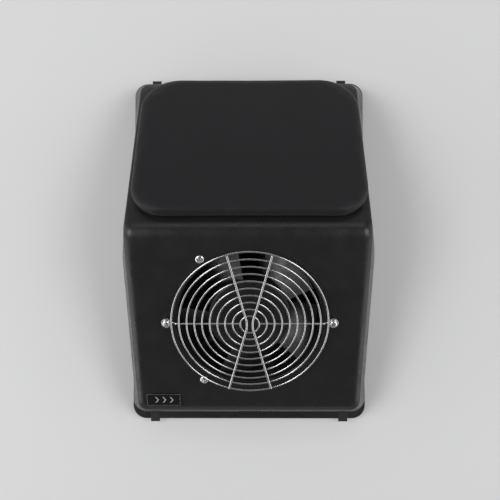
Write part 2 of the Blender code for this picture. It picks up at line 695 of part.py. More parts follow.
def build_impeller(spin_axes):
    chamfer = 0.0015
    hub = [(0.0, HUB_TOP), (HUB_RADIUS - chamfer, HUB_TOP), (HUB_RADIUS, HUB_TOP - chamfer),
           (HUB_RADIUS, HUB_BOTTOM), (ROTOR_RADIUS + GAP, HUB_BOTTOM), (ROTOR_RADIUS + GAP, ROTOR_TOP + GAP),
           (0.0, ROTOR_TOP + GAP)]
    impeller = make("impeller", turned(hub, 32))
    starts = [BLADE_START_DEG + 360.0 / BLADE_COUNT * index for index in range(BLADE_COUNT)]
    weld(impeller, gathered([blade(start) for start in starts]))
    finish(impeller, BLACK_PLASTIC, 0.45, 0.0, spin_axes)

    shaft_hole = SHAFT_RADIUS + GAP
    inner_radius = STATOR_RADIUS + 0.0008
    cup = [(shaft_hole, ROTOR_TOP), (shaft_hole, ROTOR_INNER_TOP), (inner_radius, ROTOR_INNER_TOP),
           (inner_radius, ROTOR_BOTTOM), (ROTOR_RADIUS, ROTOR_BOTTOM), (ROTOR_RADIUS, ROTOR_TOP)]
    finish(make("rotor_cup", turned(cup, 28)), STEEL, 0.4, 1.0, spin_axes)

    groove = SHAFT_RADIUS - 0.0011
    shaft = [(0.0, ROTOR_TOP), (SHAFT_RADIUS, ROTOR_TOP), (SHAFT_RADIUS, GROOVE_TOP), (groove, GROOVE_TOP),
             (groove, GROOVE_BOTTOM), (SHAFT_RADIUS, GROOVE_BOTTOM), (SHAFT_RADIUS, SHAFT_END),
             (0.0, SHAFT_END)]
    finish(make("rotor_shaft", turned(shaft, 16)), STEEL, 0.2, 1.0, spin_axes)

    clip = arc((0, 0), 0.0065, 30, 330, 14) + arc((0, 0), groove + GAP, 330, 30, 14)
    clip_solid = prism(clip, GROOVE_BOTTOM + GAP, GROOVE_TOP - GAP)
    finish(make("shaft_clip", clip_solid), STEEL, 0.3, 1.0, spin_axes)


# ---------------------------------------------------------------- guard and fasteners

def build_finger_guard(fan_axes):
    pitch = (GUARD_OUTER_RADIUS - GUARD_INNER_RADIUS) / (GUARD_RINGS - 1)
    rings = []
    for index in range(GUARD_RINGS):
        outline = circle(GUARD_INNER_RADIUS + pitch * index, 12 + 3 * index)
        rings.append(wire([(x, y, GUARD_HEIGHT) for x, y in outline], RING_WIRE_RADIUS, 4, closed=True))
    guard = make("finger_guard", gathered(rings))
    stays = []
    eyelets = []
    for side in (-1, 1):
        path = [(GUARD_INNER_RADIUS - 0.0006, 0, SIDE_STAY_HEIGHT), (0.0720, 0, SIDE_STAY_HEIGHT),
                (0.0740, 0, EYELET_HEIGHT), (0.0778, 0, EYELET_HEIGHT)]
        stays.append(wire([(side * x, y, z) for x, y, z in path], STAY_WIRE_RADIUS))
        end_x = CROSS_STAY_CENTRE_X + (CROSS_STAY_END_Y - CROSS_STAY_BEND_Y) * math.tan(CROSS_STAY_ANGLE)
        half = [(end_x, CROSS_STAY_END_Y), (CROSS_STAY_CENTRE_X, CROSS_STAY_BEND_Y)]
        path = half + [(x, -y) for x, y in reversed(half)]
        stays.append(wire([(side * x, y, CROSS_STAY_HEIGHT) for x, y in path], STAY_WIRE_RADIUS))
        eyelet = circle(EYELET_RADIUS, 16, (side * FAN_BOLT_RADIUS, 0))
        eyelets.append(wire([(x, y, EYELET_HEIGHT) for x, y in eyelet], STAY_WIRE_RADIUS, 6, closed=True))
    weld(guard, gathered(stays))
    weld(guard, gathered(eyelets))
    finish(guard, CHROME, 0.15, 1.0, fan_axes)


def screw_solid(name, head_low, head_radius):
    """A pan head screw with a cross recess; its head sits on head_low and its shank points down."""
    head_high = head_low + SCREW_HEAD_HEIGHT
    profile = [(0.0, SCREW_END), (SCREW_RADIUS, SCREW_END), (SCREW_RADIUS, head_low), (head_radius, head_low),
               (head_radius, head_low + 0.0010), (head_radius * 0.72, head_high - 0.0003), (0.0, head_high)]
    screw = make(name, turned(profile, 16))
    arm, half = head_radius * 0.55, 0.0005
    cross = make("cross", box((-arm, -half, head_high - 0.0012), (arm, half, head_high + 0.001)))
    weld(cross, box((-half, -arm, head_high - 0.0011), (half, arm, head_high + 0.0011)))
    recess = bmesh.new()
    recess.from_mesh(cross.data)
    bpy.data.objects.remove(cross)
    cut(screw, recess)
    return screw


def build_fasteners(fan_axes):
    eyelet_top = EYELET_HEIGHT + STAY_WIRE_RADIUS
    washer_low = eyelet_top + GAP
    washer_high = washer_low + WASHER_THICKNESS
    nut_top = FAN_TOP - LUG_THICKNESS - GAP
    washer = [(SCREW_RADIUS + GAP, washer_low), (SCREW_RADIUS + GAP, washer_high),
              (WASHER_RADIUS, washer_high), (WASHER_RADIUS, washer_low)]
    for side, angle in LUG_ANGLES.items():
        x, y = lug_centre(angle)
        centre = Matrix.Translation((x, y, 0.0))
        if side in ("left", "right"):
            ring = make("guard_washer_" + side, moved(turned(washer, 18), centre))
            finish(ring, STEEL, 0.3, 1.0, fan_axes)
            screw = screw_solid("guard_screw_" + side, washer_high + GAP, GUARD_SCREW_HEAD_RADIUS)
        else:
            screw = screw_solid("fan_screw_" + side, GAP, FAN_SCREW_HEAD_RADIUS)
        screw.data.transform(centre)
        finish(screw, CHROME, 0.25, 1.0, fan_axes)
        nut = make("fan_nut_" + side, prism(circle(NUT_RADIUS, 6, (x, y)), nut_top - NUT_HEIGHT, nut_top))
        cut(nut, prism(circle(SCREW_RADIUS + GAP, 12, (x, y)), -0.02, 0.0))
        finish(nut, STEEL, 0.4, 1.0, fan_axes)


# ---------------------------------------------------------------- hand rest

def pad_ring(inset, height):
    front, rear = PAD_FRONT_CORNER - inset, PAD_REAR_CORNER - inset
    y_front, y_rear = PAD_FRONT + inset, PAD_REAR - inset
    outline = rounded_outline(PAD_HALF_WIDTH - inset, y_front, y_rear, front, rear, steps=7)
    return [(x, y, height) for x, y in outline]


def build_hand_rest(slope_axes, pad_axes):
    board_top = BOARD_BOTTOM + WALL
    pocket = BOARD_INSET - GAP
    rings = [pad_ring(pocket, board_top + GAP), pad_ring(pocket, PAD_BOTTOM), pad_ring(0.0030, PAD_BOTTOM),
             pad_ring(0.0008, 0.0042), pad_ring(0.0, 0.0070), pad_ring(0.0, 0.0105),
             pad_ring(0.0010, 0.0130), pad_ring(0.0032, 0.0145), pad_ring(0.0070, PAD_TOP)]
    finish(make("cushion", lofted(rings)), (0.024, 0.024, 0.026), 0.5, 0.0, pad_axes)

    board_outline = [(x, y) for x, y, z in pad_ring(BOARD_INSET, 0.0)]
    board = make("cushion_board", prism(board_outline, BOARD_BOTTOM, board_top))
    finish(board, (0.35, 0.24, 0.14), 0.7, 0.0, pad_axes)

    hook_low = GAP
    loop_low = hook_low + STRIP_THICKNESS + GAP
    for side, x in (("left", -STRIP_X), ("right", STRIP_X)):
        low, high = x - STRIP_HALF_WIDTH, x + STRIP_HALF_WIDTH
        hook_high, loop_high = hook_low + STRIP_THICKNESS, loop_low + STRIP_THICKNESS
        hook = make("hook_strip_" + side, box((low, HOOK_START, hook_low), (high, HOOK_END, hook_high)))
        finish(hook, (0.03, 0.03, 0.03), 0.9, 0.0, slope_axes)
        loop = make("loop_strip_" + side, box((low, LOOP_START, loop_low), (high, LOOP_END, loop_high)))
        finish(loop, (0.04, 0.04, 0.04), 0.95, 0.0, pad_axes)


# ---------------------------------------------------------------- power inlet and switch

def build_power_inlet():
    beyond = FLANGE_OUTER + 0.004
    inlet = make("power_inlet", side_box(INLET_BACK, FLANGE_FACE + 0.0005, INLET_Y, INLET_Z, INLET_BODY))
    weld(inlet, side_box(FLANGE_FACE, FLANGE_OUTER, INLET_Y, INLET_Z, INLET_FLANGE))
    cut(inlet, side_box(FLANGE_OUTER - INLET_RECESS_DEPTH, beyond, INLET_Y, INLET_Z, INLET_RECESS))
    passages = []
    pins = {"live": (-PIN_PITCH, -PIN_RISE), "neutral": (PIN_PITCH, -PIN_RISE), "earth": (0.0, PIN_RISE)}
    pin_half = (PIN_HALF_THICKNESS, PIN_HALF_HEIGHT)
    passage_half = (PIN_HALF_THICKNESS + GAP, PIN_HALF_HEIGHT + GAP)
    for name, (offset, rise) in pins.items():
        y, z = INLET_Y + offset, INLET_Z + rise
        pin = side_box(PIN_BACK, FLANGE_OUTER - 0.0045, y, z, pin_half)
        finish(make("inlet_pin_" + name, pin), (0.75, 0.62, 0.35), 0.3, 1.0)
        passages.append(side_box(INLET_BACK - 0.010, FLANGE_OUTER - 0.006, y, z, passage_half))
    screw_holes = []
    rim = INLET_SCREW_RADIUS + 0.00005
    profile = [(0.0, -0.008), (INLET_SCREW_RADIUS, -0.008), (INLET_SCREW_RADIUS, -0.0009), (rim, -0.0009),
               (rim, 0.0), (0.0, 0.0)]
    for side, offset in (("front", -INLET_SCREW_PITCH / 2), ("rear", INLET_SCREW_PITCH / 2)):
        place = along_x((FLANGE_OUTER, INLET_Y + offset, INLET_Z))
        screw_holes.append(moved(prism(circle(INLET_SCREW_RADIUS + 0.0004, 10), -0.01, 0.01), place))
        screw = make("inlet_screw_" + side, moved(turned(profile, 12), place))
        finish(screw, STEEL, 0.35, 1.0)
    cut(inlet, gathered(passages))
    cut(inlet, gathered(screw_holes))
    finish(inlet, BLACK_PLASTIC, 0.4)


def build_switch(rocker_axes):
    beyond = FLANGE_OUTER + 0.004
    body = side_box(SWITCH_BACK, FLANGE_FACE + 0.0005, SWITCH_Y, SWITCH_Z, SWITCH_BODY)
    housing = make("switch_housing", body)
    weld(housing, side_box(FLANGE_FACE, FLANGE_OUTER, SWITCH_Y, SWITCH_Z, SWITCH_FLANGE))
    cut(housing, side_box(SWITCH_BACK + 0.005, beyond, SWITCH_Y, SWITCH_Z, SWITCH_RECESS))
    finish(housing, BLACK_PLASTIC, 0.35)

    reach, middle, half_height = 0.0066, 0.0040, 0.0049
    end = middle + reach * math.tan(ROCKER_TILT)
    outline = [(end, -reach), (middle, 0.0), (end, reach), (0.001, reach), (-0.003, 0.002),
               (-0.003, -0.002), (0.001, -reach)]
    rocker = make("rocker_button", prism(outline, -half_height, half_height))
    finish(rocker, BLACK_PLASTIC, 0.25, 0.0, rocker_axes)


def smooth_path(points, steps):
    """A Catmull-Rom curve through the points."""
    knots = [Vector(point) for point in points]
    knots = [2 * knots[0] - knots[1]] + knots + [2 * knots[-1] - knots[-2]]
    path = []
    for a, b, c, d in zip(knots, knots[1:], knots[2:], knots[3:]):
        for step in range(steps):
            t = step / steps
            path.append(0.5 * (2 * b + (c - a) * t + (2 * a - 5 * b + 4 * c - d) * t * t
                               + (3 * b - a - 3 * c + d) * t ** 3))
    path.append(knots[-2])
    return path


def build_lead(name, points, colour):
    curve = bpy.data.curves.new(name, "CURVE")
    curve.dimensions = "3D"
    curve.bevel_depth = 0.001
    curve.bevel_resolution = 2
    curve.use_fill_caps = True
    path = smooth_path(points, 3)
    spline = curve.splines.new("POLY")
    spline.points.add(len(path) - 1)
    for knot, point in zip(spline.points, path):
        knot.co = (*point, 1.0)
    item = bpy.data.objects.new(name, curve)
    bpy.context.scene.collection.objects.link(item)
    finish(item, colour, 0.5)


def build_leads():
    clearance = 0.0007
    tail_x = PIN_BACK - clearance
    pin_low, pin_high = INLET_Z - PIN_RISE, INLET_Z + PIN_RISE
    switch_x = SWITCH_BACK - clearance

    def from_terminal(x, y, z, away):
        """Two points that start a lead square to its terminal; away is its first step along X."""
        return [(x, y, z), (x + away, y, z)]

    def fan_terminal(y, z):
        point = fan_to_world() @ Vector((TERMINAL_HIGH[0] + clearance, y, z))
        return list(reversed(from_terminal(*point, 0.004)))

    live = (from_terminal(tail_x, INLET_Y - PIN_PITCH, pin_low, -0.003)
            + [(0.0865, 0.009, 0.0325), (0.0920, -0.006, 0.0345), (0.0985, -0.0175, 0.036)]
            + list(reversed(from_terminal(switch_x, -0.0205, 0.036, -0.003))))
    switched = (from_terminal(switch_x, -0.0275, 0.036, -0.003)
                + [(0.0960, -0.0300, 0.044), (0.0870, -0.0325, 0.056)]
                + fan_terminal(0.0275, -0.036))
    neutral = (from_terminal(tail_x, INLET_Y + PIN_PITCH, pin_low, -0.003)
               + [(0.0868, 0.0335, 0.038), (0.0868, 0.026, 0.049), (0.0868, 0.008, 0.0565)]
               + [(0.0855, -0.013, 0.0615)]
               + fan_terminal(0.0325, -0.036))
    earth = (from_terminal(tail_x, INLET_Y, pin_high, -0.003)
             + [(0.0865, 0.0205, 0.0415), (0.0900, 0.010, 0.053), (0.0900, -0.008, 0.0660)]
             + fan_terminal(0.030, -0.032))
    build_lead("lead_live", live, (0.30, 0.12, 0.05))
    build_lead("lead_switched", switched, (0.02, 0.02, 0.02))
    build_lead("lead_neutral", neutral, (0.05, 0.12, 0.40))
    build_lead("lead_earth", earth, (0.20, 0.45, 0.10))


def build():
    for item in list(bpy.data.objects):
        bpy.data.objects.remove(item, do_unlink=True)
    fan_axes = axes("fan_axes", (FAN_X, FAN_Y, FAN_Z), tilt=FRONT_ANGLE)
    spin_axes = axes("spin_axes", (FAN_X, FAN_Y, FAN_Z), tilt=FRONT_ANGLE)
    slope_axes = axes("slope_axes", (0.0, RIDGE_Y, RIDGE_Z), tilt=-REAR_ANGLE)
    pad_axes = axes("pad_axes", (PAD_X, RIDGE_Y, RIDGE_Z), tilt=-REAR_ANGLE)
    rocker_axes = axes("rocker_axes", (SWITCH_AXIS_X, SWITCH_Y, SWITCH_Z), turn=-ROCKER_TILT)
    build_base_plate()
    build_feet()
    build_filter()
    build_top_shell()
    build_badge_plate(fan_axes)
    build_fan_frame(fan_axes)
    build_motor(fan_axes)
    build_impeller(spin_axes)
    build_finger_guard(fan_axes)
    build_fasteners(fan_axes)
    build_hand_rest(slope_axes, pad_axes)
    build_power_inlet()
    build_switch(rocker_axes)
    build_leads()
    bpy.context.view_layer.update()


build()
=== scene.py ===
"""Looks of the table-top nail dust collector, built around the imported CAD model.

Everything is in metres in the row frame: origin at the centre of the footprint, +X right, -Y towards the
user, +Z up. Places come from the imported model. The sizes below repeat the design dimensions that a box of a
node can't give.
"""

import json
import math

import bmesh
import bpy
import numpy as np
from mathutils import Matrix, Vector


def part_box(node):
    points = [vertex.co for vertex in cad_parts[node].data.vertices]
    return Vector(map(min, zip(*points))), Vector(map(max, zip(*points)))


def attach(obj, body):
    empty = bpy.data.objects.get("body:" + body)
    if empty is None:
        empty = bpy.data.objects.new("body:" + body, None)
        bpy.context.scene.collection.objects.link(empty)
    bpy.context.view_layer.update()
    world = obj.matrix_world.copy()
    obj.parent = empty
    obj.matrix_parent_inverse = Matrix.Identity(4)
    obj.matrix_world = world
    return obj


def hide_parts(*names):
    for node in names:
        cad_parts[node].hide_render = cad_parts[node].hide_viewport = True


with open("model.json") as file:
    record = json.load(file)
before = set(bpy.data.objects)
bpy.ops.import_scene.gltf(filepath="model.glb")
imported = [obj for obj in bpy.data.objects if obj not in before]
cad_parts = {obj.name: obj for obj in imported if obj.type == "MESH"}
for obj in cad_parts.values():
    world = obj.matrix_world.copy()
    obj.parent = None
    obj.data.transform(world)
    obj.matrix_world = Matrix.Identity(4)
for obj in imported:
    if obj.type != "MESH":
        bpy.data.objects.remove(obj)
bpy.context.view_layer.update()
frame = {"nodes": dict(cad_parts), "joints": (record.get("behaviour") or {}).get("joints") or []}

# ---------------------------------------------------------------- places read from the frame

joints = {joint["name"]: joint for joint in frame["joints"]}
fan_origin = Vector(joints["impeller_spin"]["pos_m"])
fan_normal = Vector(joints["impeller_spin"]["axis"])
pad_normal = Vector(joints["pad_lift"]["axis"])
front_angle = math.atan2(-fan_normal.y, fan_normal.z)
rear_angle = math.atan2(pad_normal.y, pad_normal.z)
front_rise = math.tan(front_angle)
rear_fall = math.tan(rear_angle)
shell_low, shell_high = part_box("top_shell")
rim_half_width = shell_high.x
rim_half_length = shell_high.y
rim_bottom = shell_low.z

# ---------------------------------------------------------------- design dimensions

# Shell and its cuts
WALL = 0.003
RIM_THICKNESS, PLATE_THICKNESS = 0.003, 0.003
RIDGE_Y = 0.0130
RIDGE_Z = fan_origin.z + front_rise * (RIDGE_Y - fan_origin.y)
FRONT_FOLD_Y, REAR_FOLD_Y = -0.16925, 0.1768
FOLD_HALF_WIDTH = 0.115
FOLD_BEVEL, FOLD_DROP = 0.0060, 0.0025
FOLD_CORNER, FLAT_CORNER, SIDE_CORNER = 0.010, 0.007, 0.0145
SIDE_HALF_WIDTH, FRONT_END_Y, REAR_END_Y = 0.1252, -0.1762, 0.1814
HIP_DROP_FRONT, HIP_DROP_REAR, HIP_FLOOR = 0.036, 0.053, 0.018
RIDGE_BLEND, HIP_BLEND = 0.008, 0.014
SKIN = 0.0033
TONGUE_X, NOTCH_HALF_WIDTH, NOTCH_REACH, NOTCH_OVERRUN = 0.1025, 0.0051, 0.0074, 0.010
CLEARANCE = 0.0003
OPENING_INSIDE_X, OPENING_OUTSIDE_X = 0.110, 0.135
INLET_FLANGE_LIP, SWITCH_FLANGE_LIP = (0.0097, 0.0007), (0.0009, 0.0009)

# Fan, in its own frame: centre of the opening on the face of the front slope, +Z out of the slope
FAN_OPENING_RADIUS, FAN_OPENING_LIP = 0.0728, 0.0006
FAN_BOLT_RADIUS = 0.081
FAN_OUTER_RADIUS, FAN_BORE_RADIUS, FAN_FLARE = 0.075, 0.0705, 0.0015
FAN_TOP, FAN_BOTTOM = -0.0034, -0.0414
LUG_HALF_WIDTH, LUG_THICKNESS, LUG_ROOT = 0.007, 0.005, 0.0728
STRUT_COUNT, STRUT_HALF_WIDTH, STRUT_START, STRUT_END, STRUT_TOP = 4, 0.003, 0.036, 0.073, -0.038
TERMINAL_LOW, TERMINAL_HIGH = (0.0665, 0.025, -0.040), (0.074, 0.035, -0.030)
MOTOR_BASE_TOP = -0.0389
TUBE_RADIUS, TUBE_TOP, BEARING_SEAT_RADIUS, SHAFT_PASSAGE_RADIUS = 0.013, -0.0132, 0.0113, 0.009
REAR_SEAT_TOP, FRONT_SEAT_BOTTOM = -0.0338, -0.0214
HUB_RADIUS, HUB_TOP, HUB_BOTTOM = 0.041, -0.0077, -0.037
HUB_INNER_RADIUS, HUB_INNER_TOP, HUB_ROUNDING = 0.0353, -0.0102, 0.003
BLADE_COUNT, BLADE_TIP_RADIUS, BLADE_ROOT_DEPTH = 5, 0.069, 0.002
BLADE_TOP, BLADE_BOTTOM, BLADE_CAMBER = -0.0095, -0.0345, 0.002
BLADE_START_DEG, BLADE_SPAN_DEG, BLADE_TIP_SPAN_LOSS = 171.0, 52.0, 0.12
SCREW_ANGLES = {"right": 0.0, "left": 180.0, "upper": 125.0, "lower": 235.0}

# Finger guard and screws, in the fan's frame
GUARD_RINGS, GUARD_INNER_RADIUS, GUARD_OUTER_RADIUS = 10, 0.0091, 0.07585
GUARD_HEIGHT, SIDE_STAY_HEIGHT, CROSS_STAY_HEIGHT = 0.0055, 0.0040, 0.0071
RING_WIRE_RADIUS, STAY_WIRE_RADIUS = 0.0009, 0.0011
CROSS_STAY_ANGLE = math.radians(14.8)
CROSS_STAY_CENTRE_X = 0.0028
CROSS_STAY_BEND_Y, CROSS_STAY_END_Y = 0.0035, 0.0727
SIDE_STAY_DROP_START, SIDE_STAY_DROP_END, SIDE_STAY_END = 0.0718, 0.0742, 0.0778
STAY_OVERLAP, SIDE_STAY_ROUNDING, CROSS_STAY_ROUNDING = 0.0008, 0.0012, 0.0022
EYELET_RADIUS, EYELET_HEIGHT, EYELET_POINTS = 0.0036, 0.0015, 28
SCREW_HOLE_RADIUS, SCREW_GAP = 0.0024, 0.0002
GUARD_SCREW_HEAD_RADIUS, FAN_SCREW_HEAD_RADIUS = 0.0035, 0.0041
WASHER_RADIUS, WASHER_THICKNESS = 0.0048, 0.0011

# Hand rest, in the frame of the rear slope: origin on the ridge line, +Y down the slope, +Z out of it
PAD_HALF_WIDTH, PAD_FRONT, PAD_REAR = 0.1113, 0.0123, 0.1783
PAD_FRONT_CORNER, PAD_REAR_CORNER = 0.032, 0.040
PAD_BOTTOM, PAD_TOP = 0.0022, 0.0150
BOARD_TOP, BOARD_INSET = 0.0055, 0.010
COVER_SWELLING, COVER_PRESSURE, COVER_VOXEL, CLOTH_FRAMES = 0.0010, 4.0, 0.0026, 20

# Table, camera and sky
FLOOR_HALF_SIZE, FLOOR_THICKNESS, TABLE_GREY = 2, 0.01, 0.69
SENSOR_WIDTH_MM, LENS_MM, NEAREST_SEEN = 36.0, 42.54, 0.01
CAMERA_PLACE, CAMERA_TURN = (0.0059, -0.0230, 0.6629), (0.03434, 0.00727, -0.0006)
SKY_COLOUR, SKY_STRENGTH = (0.97, 0.98, 1.0, 1.0), 0.155

TINY = 1e-9
LARGE_CIRCLE, SMALL_CIRCLE = 128, 20
fan_axes = Matrix.Translation(fan_origin) @ Matrix.Rotation(front_angle, 4, "X")
pad_low, pad_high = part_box("cushion")
pad_origin = ((pad_low.x + pad_high.x) / 2, RIDGE_Y, RIDGE_Z)
pad_axes = Matrix.Translation(pad_origin) @ Matrix.Rotation(-rear_angle, 4, "X")


# ---------------------------------------------------------------- camera, floor and light

def make_camera():
    """Above the table, two degrees off straight down, the user's side at the bottom of the picture."""
    data = bpy.data.cameras.new("camera")
    data.sensor_width = SENSOR_WIDTH_MM
    data.lens = LENS_MM
    data.clip_start = NEAREST_SEEN
    camera = bpy.data.objects.new("camera", data)
    camera.location = CAMERA_PLACE
    camera.rotation_euler = CAMERA_TURN
    bpy.context.scene.collection.objects.link(camera)
    bpy.context.scene.camera = camera


def area_light(name, place, aim, size, power):
    """A rectangular light at place that faces aim; its size is in metres and its power in watts."""
    data = bpy.data.lights.new(name, "AREA")
    data.shape = "RECTANGLE"
    data.size, data.size_y = size
    data.energy = power
    lamp = bpy.data.objects.new(name, data)
    lamp.location = place
    lamp.rotation_euler = (Vector(aim) - Vector(place)).to_track_quat("-Z", "Y").to_euler()
    bpy.context.scene.collection.objects.link(lamp)


def make_light():
    """A dim sky, a long low panel at each side that shows in the folds, two panels above and two behind."""
    world = bpy.data.worlds.new("studio")
    world.use_nodes = True
    background = world.node_tree.nodes["Background"]
    background.inputs["Color"].default_value = SKY_COLOUR
    background.inputs["Strength"].default_value = SKY_STRENGTH
    bpy.context.scene.world = world
    bpy.context.scene.view_settings.view_transform = "Standard"
    target = (0.0, 0.0, 0.05)
    area_light("left_wall", (-2.2, -0.8, 0.60), (0.0, -0.8, 0.10), (4.4, 1.1), 38.0)
    area_light("right_wall", (2.2, -0.8, 0.60), (0.0, -0.8, 0.10), (4.4, 1.1), 31.0)
    area_light("left_high", (-1.2, 0.0, 1.7), target, (1.2, 0.8), 17.0)
    area_light("right_high", (1.2, 0.0, 1.7), target, (1.2, 0.8), 14.0)
    area_light("rear", (0.0, 1.3, 1.4), target, (1.6, 0.4), 2.6)
    area_light("rear_wall", (0.0, 1.6, 0.40), (0.0, 0.0, 0.10), (2.4, 0.5), 2.4)


# ---------------------------------------------------------------- materials

class Surface:
    """A Principled material under construction, with short calls for its procedural nodes."""

    def __init__(self, name, roughness, metallic=0.0):
        self.material = bpy.data.materials.new(name)
        self.material.use_nodes = True
        self.tree = self.material.node_tree
        self.shader = self.tree.nodes["Principled BSDF"]
        self.shader.inputs["Roughness"].default_value = roughness
        self.shader.inputs["Metallic"].default_value = metallic
        self.place = self.tree.nodes.new("ShaderNodeTexCoord").outputs["Object"]

    def node(self, kind, inputs, **settings):
        made = self.tree.nodes.new(kind)
        for key, value in settings.items():
            setattr(made, key, value)
        for key, value in inputs.items():
            if isinstance(value, bpy.types.NodeSocket):
                self.tree.links.new(value, made.inputs[key])
            else:
                made.inputs[key].default_value = value
        return made

    def noise(self, size, detail=3.0, roughness=0.55, stretch=None):
        """Soft noise with features about size metres across."""
        place = self.place
        if stretch:
            place = self.node("ShaderNodeMapping", {"Vector": place, "Scale": stretch}).outputs["Vector"]
        inputs = {"Vector": place, "Scale": 1.0 / size, "Detail": detail, "Roughness": roughness}
        return self.node("ShaderNodeTexNoise", inputs).outputs["Fac"]

    def cells(self, size, feature="F1"):
        inputs = {"Vector": self.place, "Scale": 1.0 / size}
        return self.node("ShaderNodeTexVoronoi", inputs, feature=feature).outputs["Distance"]

    def spread(self, value, low, high, start=0.35, end=0.65):
        """Maps value from start..end to low..high."""
        inputs = {"Value": value, "From Min": start, "From Max": end, "To Min": low, "To Max": high}
        return self.node("ShaderNodeMapRange", inputs).outputs["Result"]

    def maths(self, operation, first, second):
        made = self.node("ShaderNodeMath", {0: first, 1: second}, operation=operation)
        return made.outputs["Value"]

    def blend(self, factor, first, second):
        """A colour between first and second."""
        mix = self.node("ShaderNodeMix", {}, data_type="RGBA")
        for socket, value in zip((mix.inputs[0], mix.inputs[6], mix.inputs[7]), (factor, first, second)):
            if isinstance(value, bpy.types.NodeSocket):
                self.tree.links.new(value, socket)
            elif isinstance(value, float):
                socket.default_value = value
            else:
                socket.default_value = (*value, 1.0)
        return mix.outputs[2]

    def colour(self, socket):
        self.tree.links.new(socket, self.shader.inputs["Base Color"])

    def rough(self, socket):
        self.tree.links.new(socket, self.shader.inputs["Roughness"])

    def bump(self, *layers):
        """Layers of (height socket, depth in metres), one over another."""
        normal = None
        for height, depth in layers:
            inputs = {"Height": height, "Strength": 1.0, "Distance": depth}
            if normal:
                inputs["Normal"] = normal
            normal = self.node("ShaderNodeBump", inputs).outputs["Normal"]
        self.tree.links.new(normal, self.shader.inputs["Normal"])


def shade(colour, factor):
    return tuple(channel * factor for channel in colour)


def mottled(surface, colour, size, amount):
    """Colour that drifts lighter and darker over patches of that size."""
    return surface.blend(surface.noise(size), shade(colour, 1 - amount), shade(colour, 1 + amount))


def grained_plastic(name, colour, roughness, grain, depth):
    """Moulded or thermoformed plastic with a leather grain; grain is a pebble's size, depth its height."""
    surface = Surface(name, roughness)
    surface.shader.inputs["Specular IOR Level"].default_value = 0.4
    surface.colour(mottled(surface, colour, 0.035, 0.12))
    pebbles = surface.maths("SUBTRACT", 1.0, surface.cells(grain, "SMOOTH_F1"))
    fine = surface.noise(grain * 0.35, 2.0)
    surface.bump((pebbles, depth), (fine, depth * 0.3))
    surface.rough(surface.spread(surface.noise(0.02), roughness - 0.05, roughness + 0.06))
    return surface.material


def plain_plastic(name, colour, roughness, depth=0.00001):
    """Moulded plastic with a fine satin skin."""
    surface = Surface(name, roughness)
    surface.colour(mottled(surface, colour, 0.012, 0.10))
    surface.bump((surface.noise(0.0006, 2.0), depth))
    surface.rough(surface.spread(surface.noise(0.006), roughness - 0.04, roughness + 0.06))
    return surface.material


def leatherette(name, colour):
    """Soft vinyl cover: fine pores, faint broad creases, a little sheen."""
    surface = Surface(name, 0.5)
    surface.shader.inputs["Specular IOR Level"].default_value = 0.2
    surface.colour(mottled(surface, colour, 0.05, 0.10))
    pores = surface.cells(0.0009, "SMOOTH_F1")
    creases = surface.noise(0.03, 4.0, 0.6, stretch=(1.0, 2.2, 1.0))
    surface.bump((creases, 0.00015), (pores, 0.00004), (surface.noise(0.0004, 2.0), 0.00002))
    surface.rough(surface.spread(surface.noise(0.015), 0.44, 0.56))
    surface.shader.inputs["Sheen Weight"].default_value = 0.08
    surface.shader.inputs["Sheen Roughness"].default_value = 0.4
    return surface.material


def metal(name, colour, roughness, brushed=0.0, stain=0.06):
    """Bare or plated metal; brushed is the depth of its fine lines."""
    surface = Surface(name, roughness, 1.0)
    surface.colour(mottled(surface, colour, 0.008, stain))
    surface.rough(surface.spread(surface.noise(0.004), max(roughness - 0.04, 0.03), roughness + 0.08))
    if brushed:
        surface.bump((surface.noise(0.0015, 3.0, 0.6, stretch=(1.0, 1.0, 14.0)), brushed))
    return surface.material


def woven(name, colour, thread):
    """Woven tape or hook-and-loop cloth."""
    surface = Surface(name, 0.9)
    bands = {"Vector": surface.place, "Scale": 0.16 / thread}
    across = surface.node("ShaderNodeTexWave", bands).outputs["Fac"]
    along = surface.node("ShaderNodeTexWave", bands, bands_direction="Y").outputs["Fac"]
    weave = surface.maths("MULTIPLY", across, along)
    surface.colour(surface.blend(weave, shade(colour, 0.6), shade(colour, 1.3)))
    surface.bump((weave, thread * 0.3), (surface.noise(thread * 0.5), thread * 0.2))
    surface.shader.inputs["Sheen Weight"].default_value = 0.3
    return surface.material


def fibres(name, colour, size):
    """Paper, felt or board: short random fibres."""
    surface = Surface(name, 0.9)
    strands = surface.noise(size, 5.0, 0.7, stretch=(1.0, 3.0, 1.0))
    surface.colour(surface.blend(strands, shade(colour, 0.82), shade(colour, 1.12)))
    surface.bump((strands, size * 0.15))
    return surface.material


def foam(name, colour):
    """Open-cell sealing foam."""
    surface = Surface(name, 0.95)
    bubbles = surface.cells(0.0012)
    surface.colour(surface.blend(bubbles, shade(colour, 0.5), shade(colour, 1.4)))
    surface.bump((bubbles, 0.0004))
    return surface.material


def winding_copper(name):
    """Varnished copper wire wound round a steel core."""
    surface = Surface(name, 0.35, 0.8)
    lines = surface.node("ShaderNodeTexWave", {"Vector": surface.place, "Scale": 420.0, "Distortion": 1.2},
                         bands_direction="Z").outputs["Fac"]
    surface.colour(surface.blend(lines, (0.20, 0.07, 0.03), (0.62, 0.27, 0.11)))
    surface.bump((lines, 0.0003))
    return surface.material


